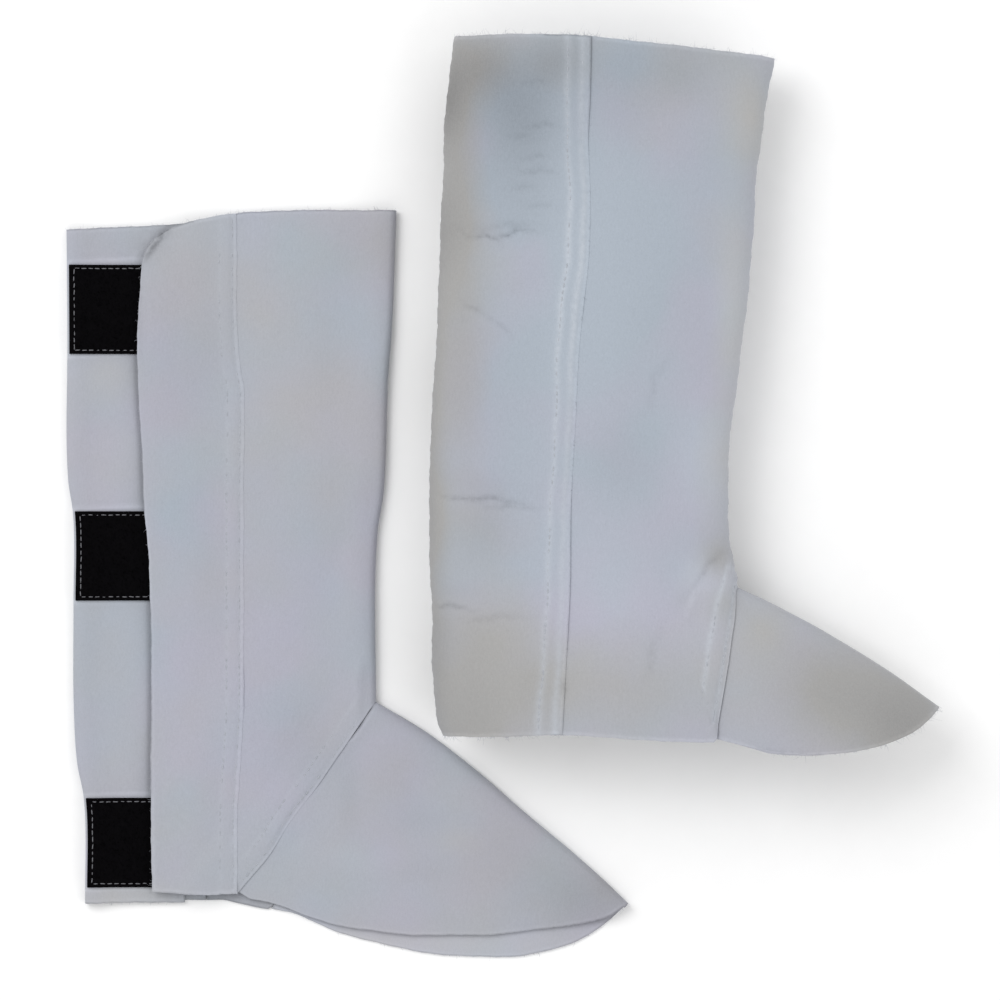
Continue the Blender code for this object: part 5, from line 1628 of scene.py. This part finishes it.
class LEGGUARDS_OT_tapes(bpy.types.Operator):
    """Lay the loop tapes with their pile on both underlaps, and the hook tapes inside both flaps"""
    bl_idname = "leg_guards.tapes"
    bl_label = "Hook and loop tapes"

    def execute(self, context):
        tapes = context.scene.guard_tapes
        loop, hook = finish_of(context, "loop_pile"), finish_of(context, "hook_weave")
        step = tapes.step / MM
        laid = [laid_loop_tape(top, step) for top in BAND_TOPS]
        worn = [worn_tape(LOOP_FROM + WORN_TURN, TAPES_TO + WORN_TURN, top, 1, step) for top in BAND_TOPS]
        for number, (top, hook_cut) in enumerate(zip(BAND_TOPS, HOOK_CUTS), 1):
            laid_hook = laid_hook_tape(top, step)
            worn_hook = worn_tape(hook_start(top), TAPES_TO, top, 2, step)
            for name, node, points, finish, cut, carrier, origin in (
                    ("laid_loop", "flat_loop", laid[number - 1], loop, LOOP_CUT, "laid_back_leather", LAID),
                    ("laid_hook", "flat_hook", laid_hook, hook, hook_cut, "laid_flap_leather", LAID),
                    ("worn_loop", "worn_loop", worn[number - 1], loop, LOOP_CUT, "worn_back_leather", WORN),
                    ("worn_hook", "worn_hook", worn_hook, hook, hook_cut, "worn_flap_leather", WORN)):
                piece = sheet_piece(f"{name}_{number}", Sheet(points), TAPE, [finish], origin)
                declare(f"{node}_tape_{number}", cut, "laid", [carrier])

        tall = tapes.pile / MM
        for name, sheets, facing, height, origin, seed in (
                ("laid_loop_pile", laid, 1, tall, LAID, 11),
                ("worn_loop_pile", worn, -1, WORN_PILE * tall, WORN, 12)):
            made = piled(sheets, facing, tapes.density, height, seed)
            trim_piece(name, made, loop, origin, "loop_tape")
        return {"FINISHED"}


class LEGGUARDS_OT_stitching(bpy.types.Operator):
    """Sew both guards: double rows on the lapped seams, and a row round each loop tape"""
    bl_idname = "leg_guards.stitching"
    bl_label = "Stitching"

    def execute(self, context):
        sewing = context.scene.guard_sewing
        pale, matched = finish_of(context, "thread_pale"), finish_of(context, "thread_leather")
        for name, paths, thickness, sunk, thread, origin, slot, seed in (
                ("laid_seam_stitches", laid_seam_paths(), sewing.seam, 0.6, matched, LAID, "leather", 21),
                ("laid_tape_stitches", laid_tape_paths(), sewing.thread, 0.4, pale, LAID, "loop_tape", 22),
                ("worn_seam_stitches", worn_seam_paths(), sewing.seam, 0.5, matched, WORN, "leather", 23),
                ("worn_tape_stitches", worn_tape_paths(), sewing.thread, 0.4, pale, WORN, "loop_tape", 24)):
            trim_piece(name, stitched(paths, sewing, thickness, sunk, seed), thread, origin, slot)
        return {"FINISHED"}


class LEGGUARDS_OT_fringe(bpy.types.Operator):
    """Fray the raw edges of both guards with loose fibres"""
    bl_idname = "leg_guards.fringe"
    bl_label = "Frayed edges"

    def execute(self, context):
        sewing = context.scene.guard_sewing
        finish = finish_of(context, "leather_raw_edge")
        step = context.scene.guard_leather.step / MM
        laid = {"front": laid_front_panel, "back": laid_back_panel, "flap": laid_flap, "toe": laid_toe_piece}
        worn = {"front": worn_front_panel, "back": worn_back_panel, "flap": worn_flap, "toe": worn_toe_piece}
        for name, makers, fringe, floor, origin, seed in (
                ("laid_frayed_edges", laid, LAID_FRINGE, FRINGE_CLEAR, LAID, 31),
                ("worn_frayed_edges", worn, WORN_FRINGE, FRINGE_CLEAR - WORN_PLACE[2], WORN, 32)):
            sheets = {which: maker(step).points for which, maker in makers.items()}
            edges = [(*raw_edge(sheets[which], edge), per_mm, reach) for which, edge, per_mm, reach in fringe]
            trim_piece(name, frayed(edges, sewing, floor, seed), finish, origin, "leather")
        return {"FINISHED"}


def aimed_light(name, place, width, power):
    """Large square light at a place, turned to the middle of the floor."""
    data = bpy.data.lights.new(name, "AREA")
    data.size = width
    data.energy = power
    light = new_object(name, data)
    light.location = place
    light.rotation_euler = (-Vector(place)).to_track_quat("-Z", "Y").to_euler()


class LEGGUARDS_OT_stage(bpy.types.Operator):
    """Lay a pale floor, light it softly and look straight down at the pair"""
    bl_idname = "leg_guards.stage"
    bl_label = "Stage"

    def execute(self, context):
        stage = context.scene.guard_stage
        mesh = bpy.data.meshes.new("floor")
        corners = [(FLOOR_HALF * x, FLOOR_HALF * y, 0) for x, y in ((-1, -1), (1, -1), (1, 1), (-1, 1))]
        mesh.from_pydata(corners, [], [(0, 1, 2, 3)])
        mesh.materials.append(paper_finish("floor_paper", stage.floor))
        new_object("floor", mesh)
        for name, place, width, share in LIGHTS:
            aimed_light(name, place, width, share * stage.key)
        world = bpy.data.worlds.new("even_light")
        world.use_nodes = True
        sky = world.node_tree.nodes["Background"].inputs
        sky["Color"].default_value = (1, 1, 1, 1)
        sky["Strength"].default_value = stage.sky
        context.scene.world = world
        context.scene.view_settings.view_transform = "Standard"
        data = bpy.data.cameras.new("camera")
        data.lens = data.sensor_width * stage.distance / stage.width
        data.clip_end = 4 * stage.distance
        camera = new_object("camera", data)
        camera.location = (0, 0, stage.distance)
        context.scene.camera = camera
        return {"FINISHED"}


class LEGGUARDS_PT_pieces(bpy.types.Panel):
    """Lists the settings and the steps in order"""
    bl_label = "Leg guards"
    bl_idname = "LEGGUARDS_PT_pieces"
    bl_space_type = "VIEW_3D"
    bl_region_type = "UI"
    bl_category = "Leg guards"

    def draw(self, context):
        for name, kind in SETTINGS.items():
            box = self.layout.box()
            box.label(text=kind.__doc__)
            for entry in kind.__annotations__:
                box.prop(getattr(context.scene, name), entry)
        for step in STEPS:
            self.layout.operator(step.bl_idname)


SETTINGS = {
    "guard_leather": GuardLeather,
    "guard_tapes": GuardTapes,
    "guard_sewing": GuardSewing,
    "guard_stage": GuardStage}
STEPS = (
    LEGGUARDS_OT_laid_leather, LEGGUARDS_OT_worn_leather, LEGGUARDS_OT_tapes, LEGGUARDS_OT_stitching,
    LEGGUARDS_OT_fringe, LEGGUARDS_OT_stage)


def register():
    """Make the classes known, and give the scene its settings."""
    for kind in (*SETTINGS.values(), *STEPS, LEGGUARDS_PT_pieces):
        bpy.utils.register_class(kind)
    for name, kind in SETTINGS.items():
        setattr(bpy.types.Scene, name, bpy.props.PointerProperty(type=kind))


def unregister():
    """Take both away again."""
    for name in SETTINGS:
        delattr(bpy.types.Scene, name)
    for kind in (LEGGUARDS_PT_pieces, *reversed(STEPS), *reversed(list(SETTINGS.values()))):
        bpy.utils.unregister_class(kind)


def main():
    """Build everything in order."""
    register()
    bpy.ops.leg_guards.laid_leather()
    bpy.ops.leg_guards.worn_leather()
    bpy.ops.leg_guards.tapes()
    bpy.ops.leg_guards.stitching()
    bpy.ops.leg_guards.fringe()
    bpy.ops.leg_guards.stage()


if __name__ == "__main__":
    main()
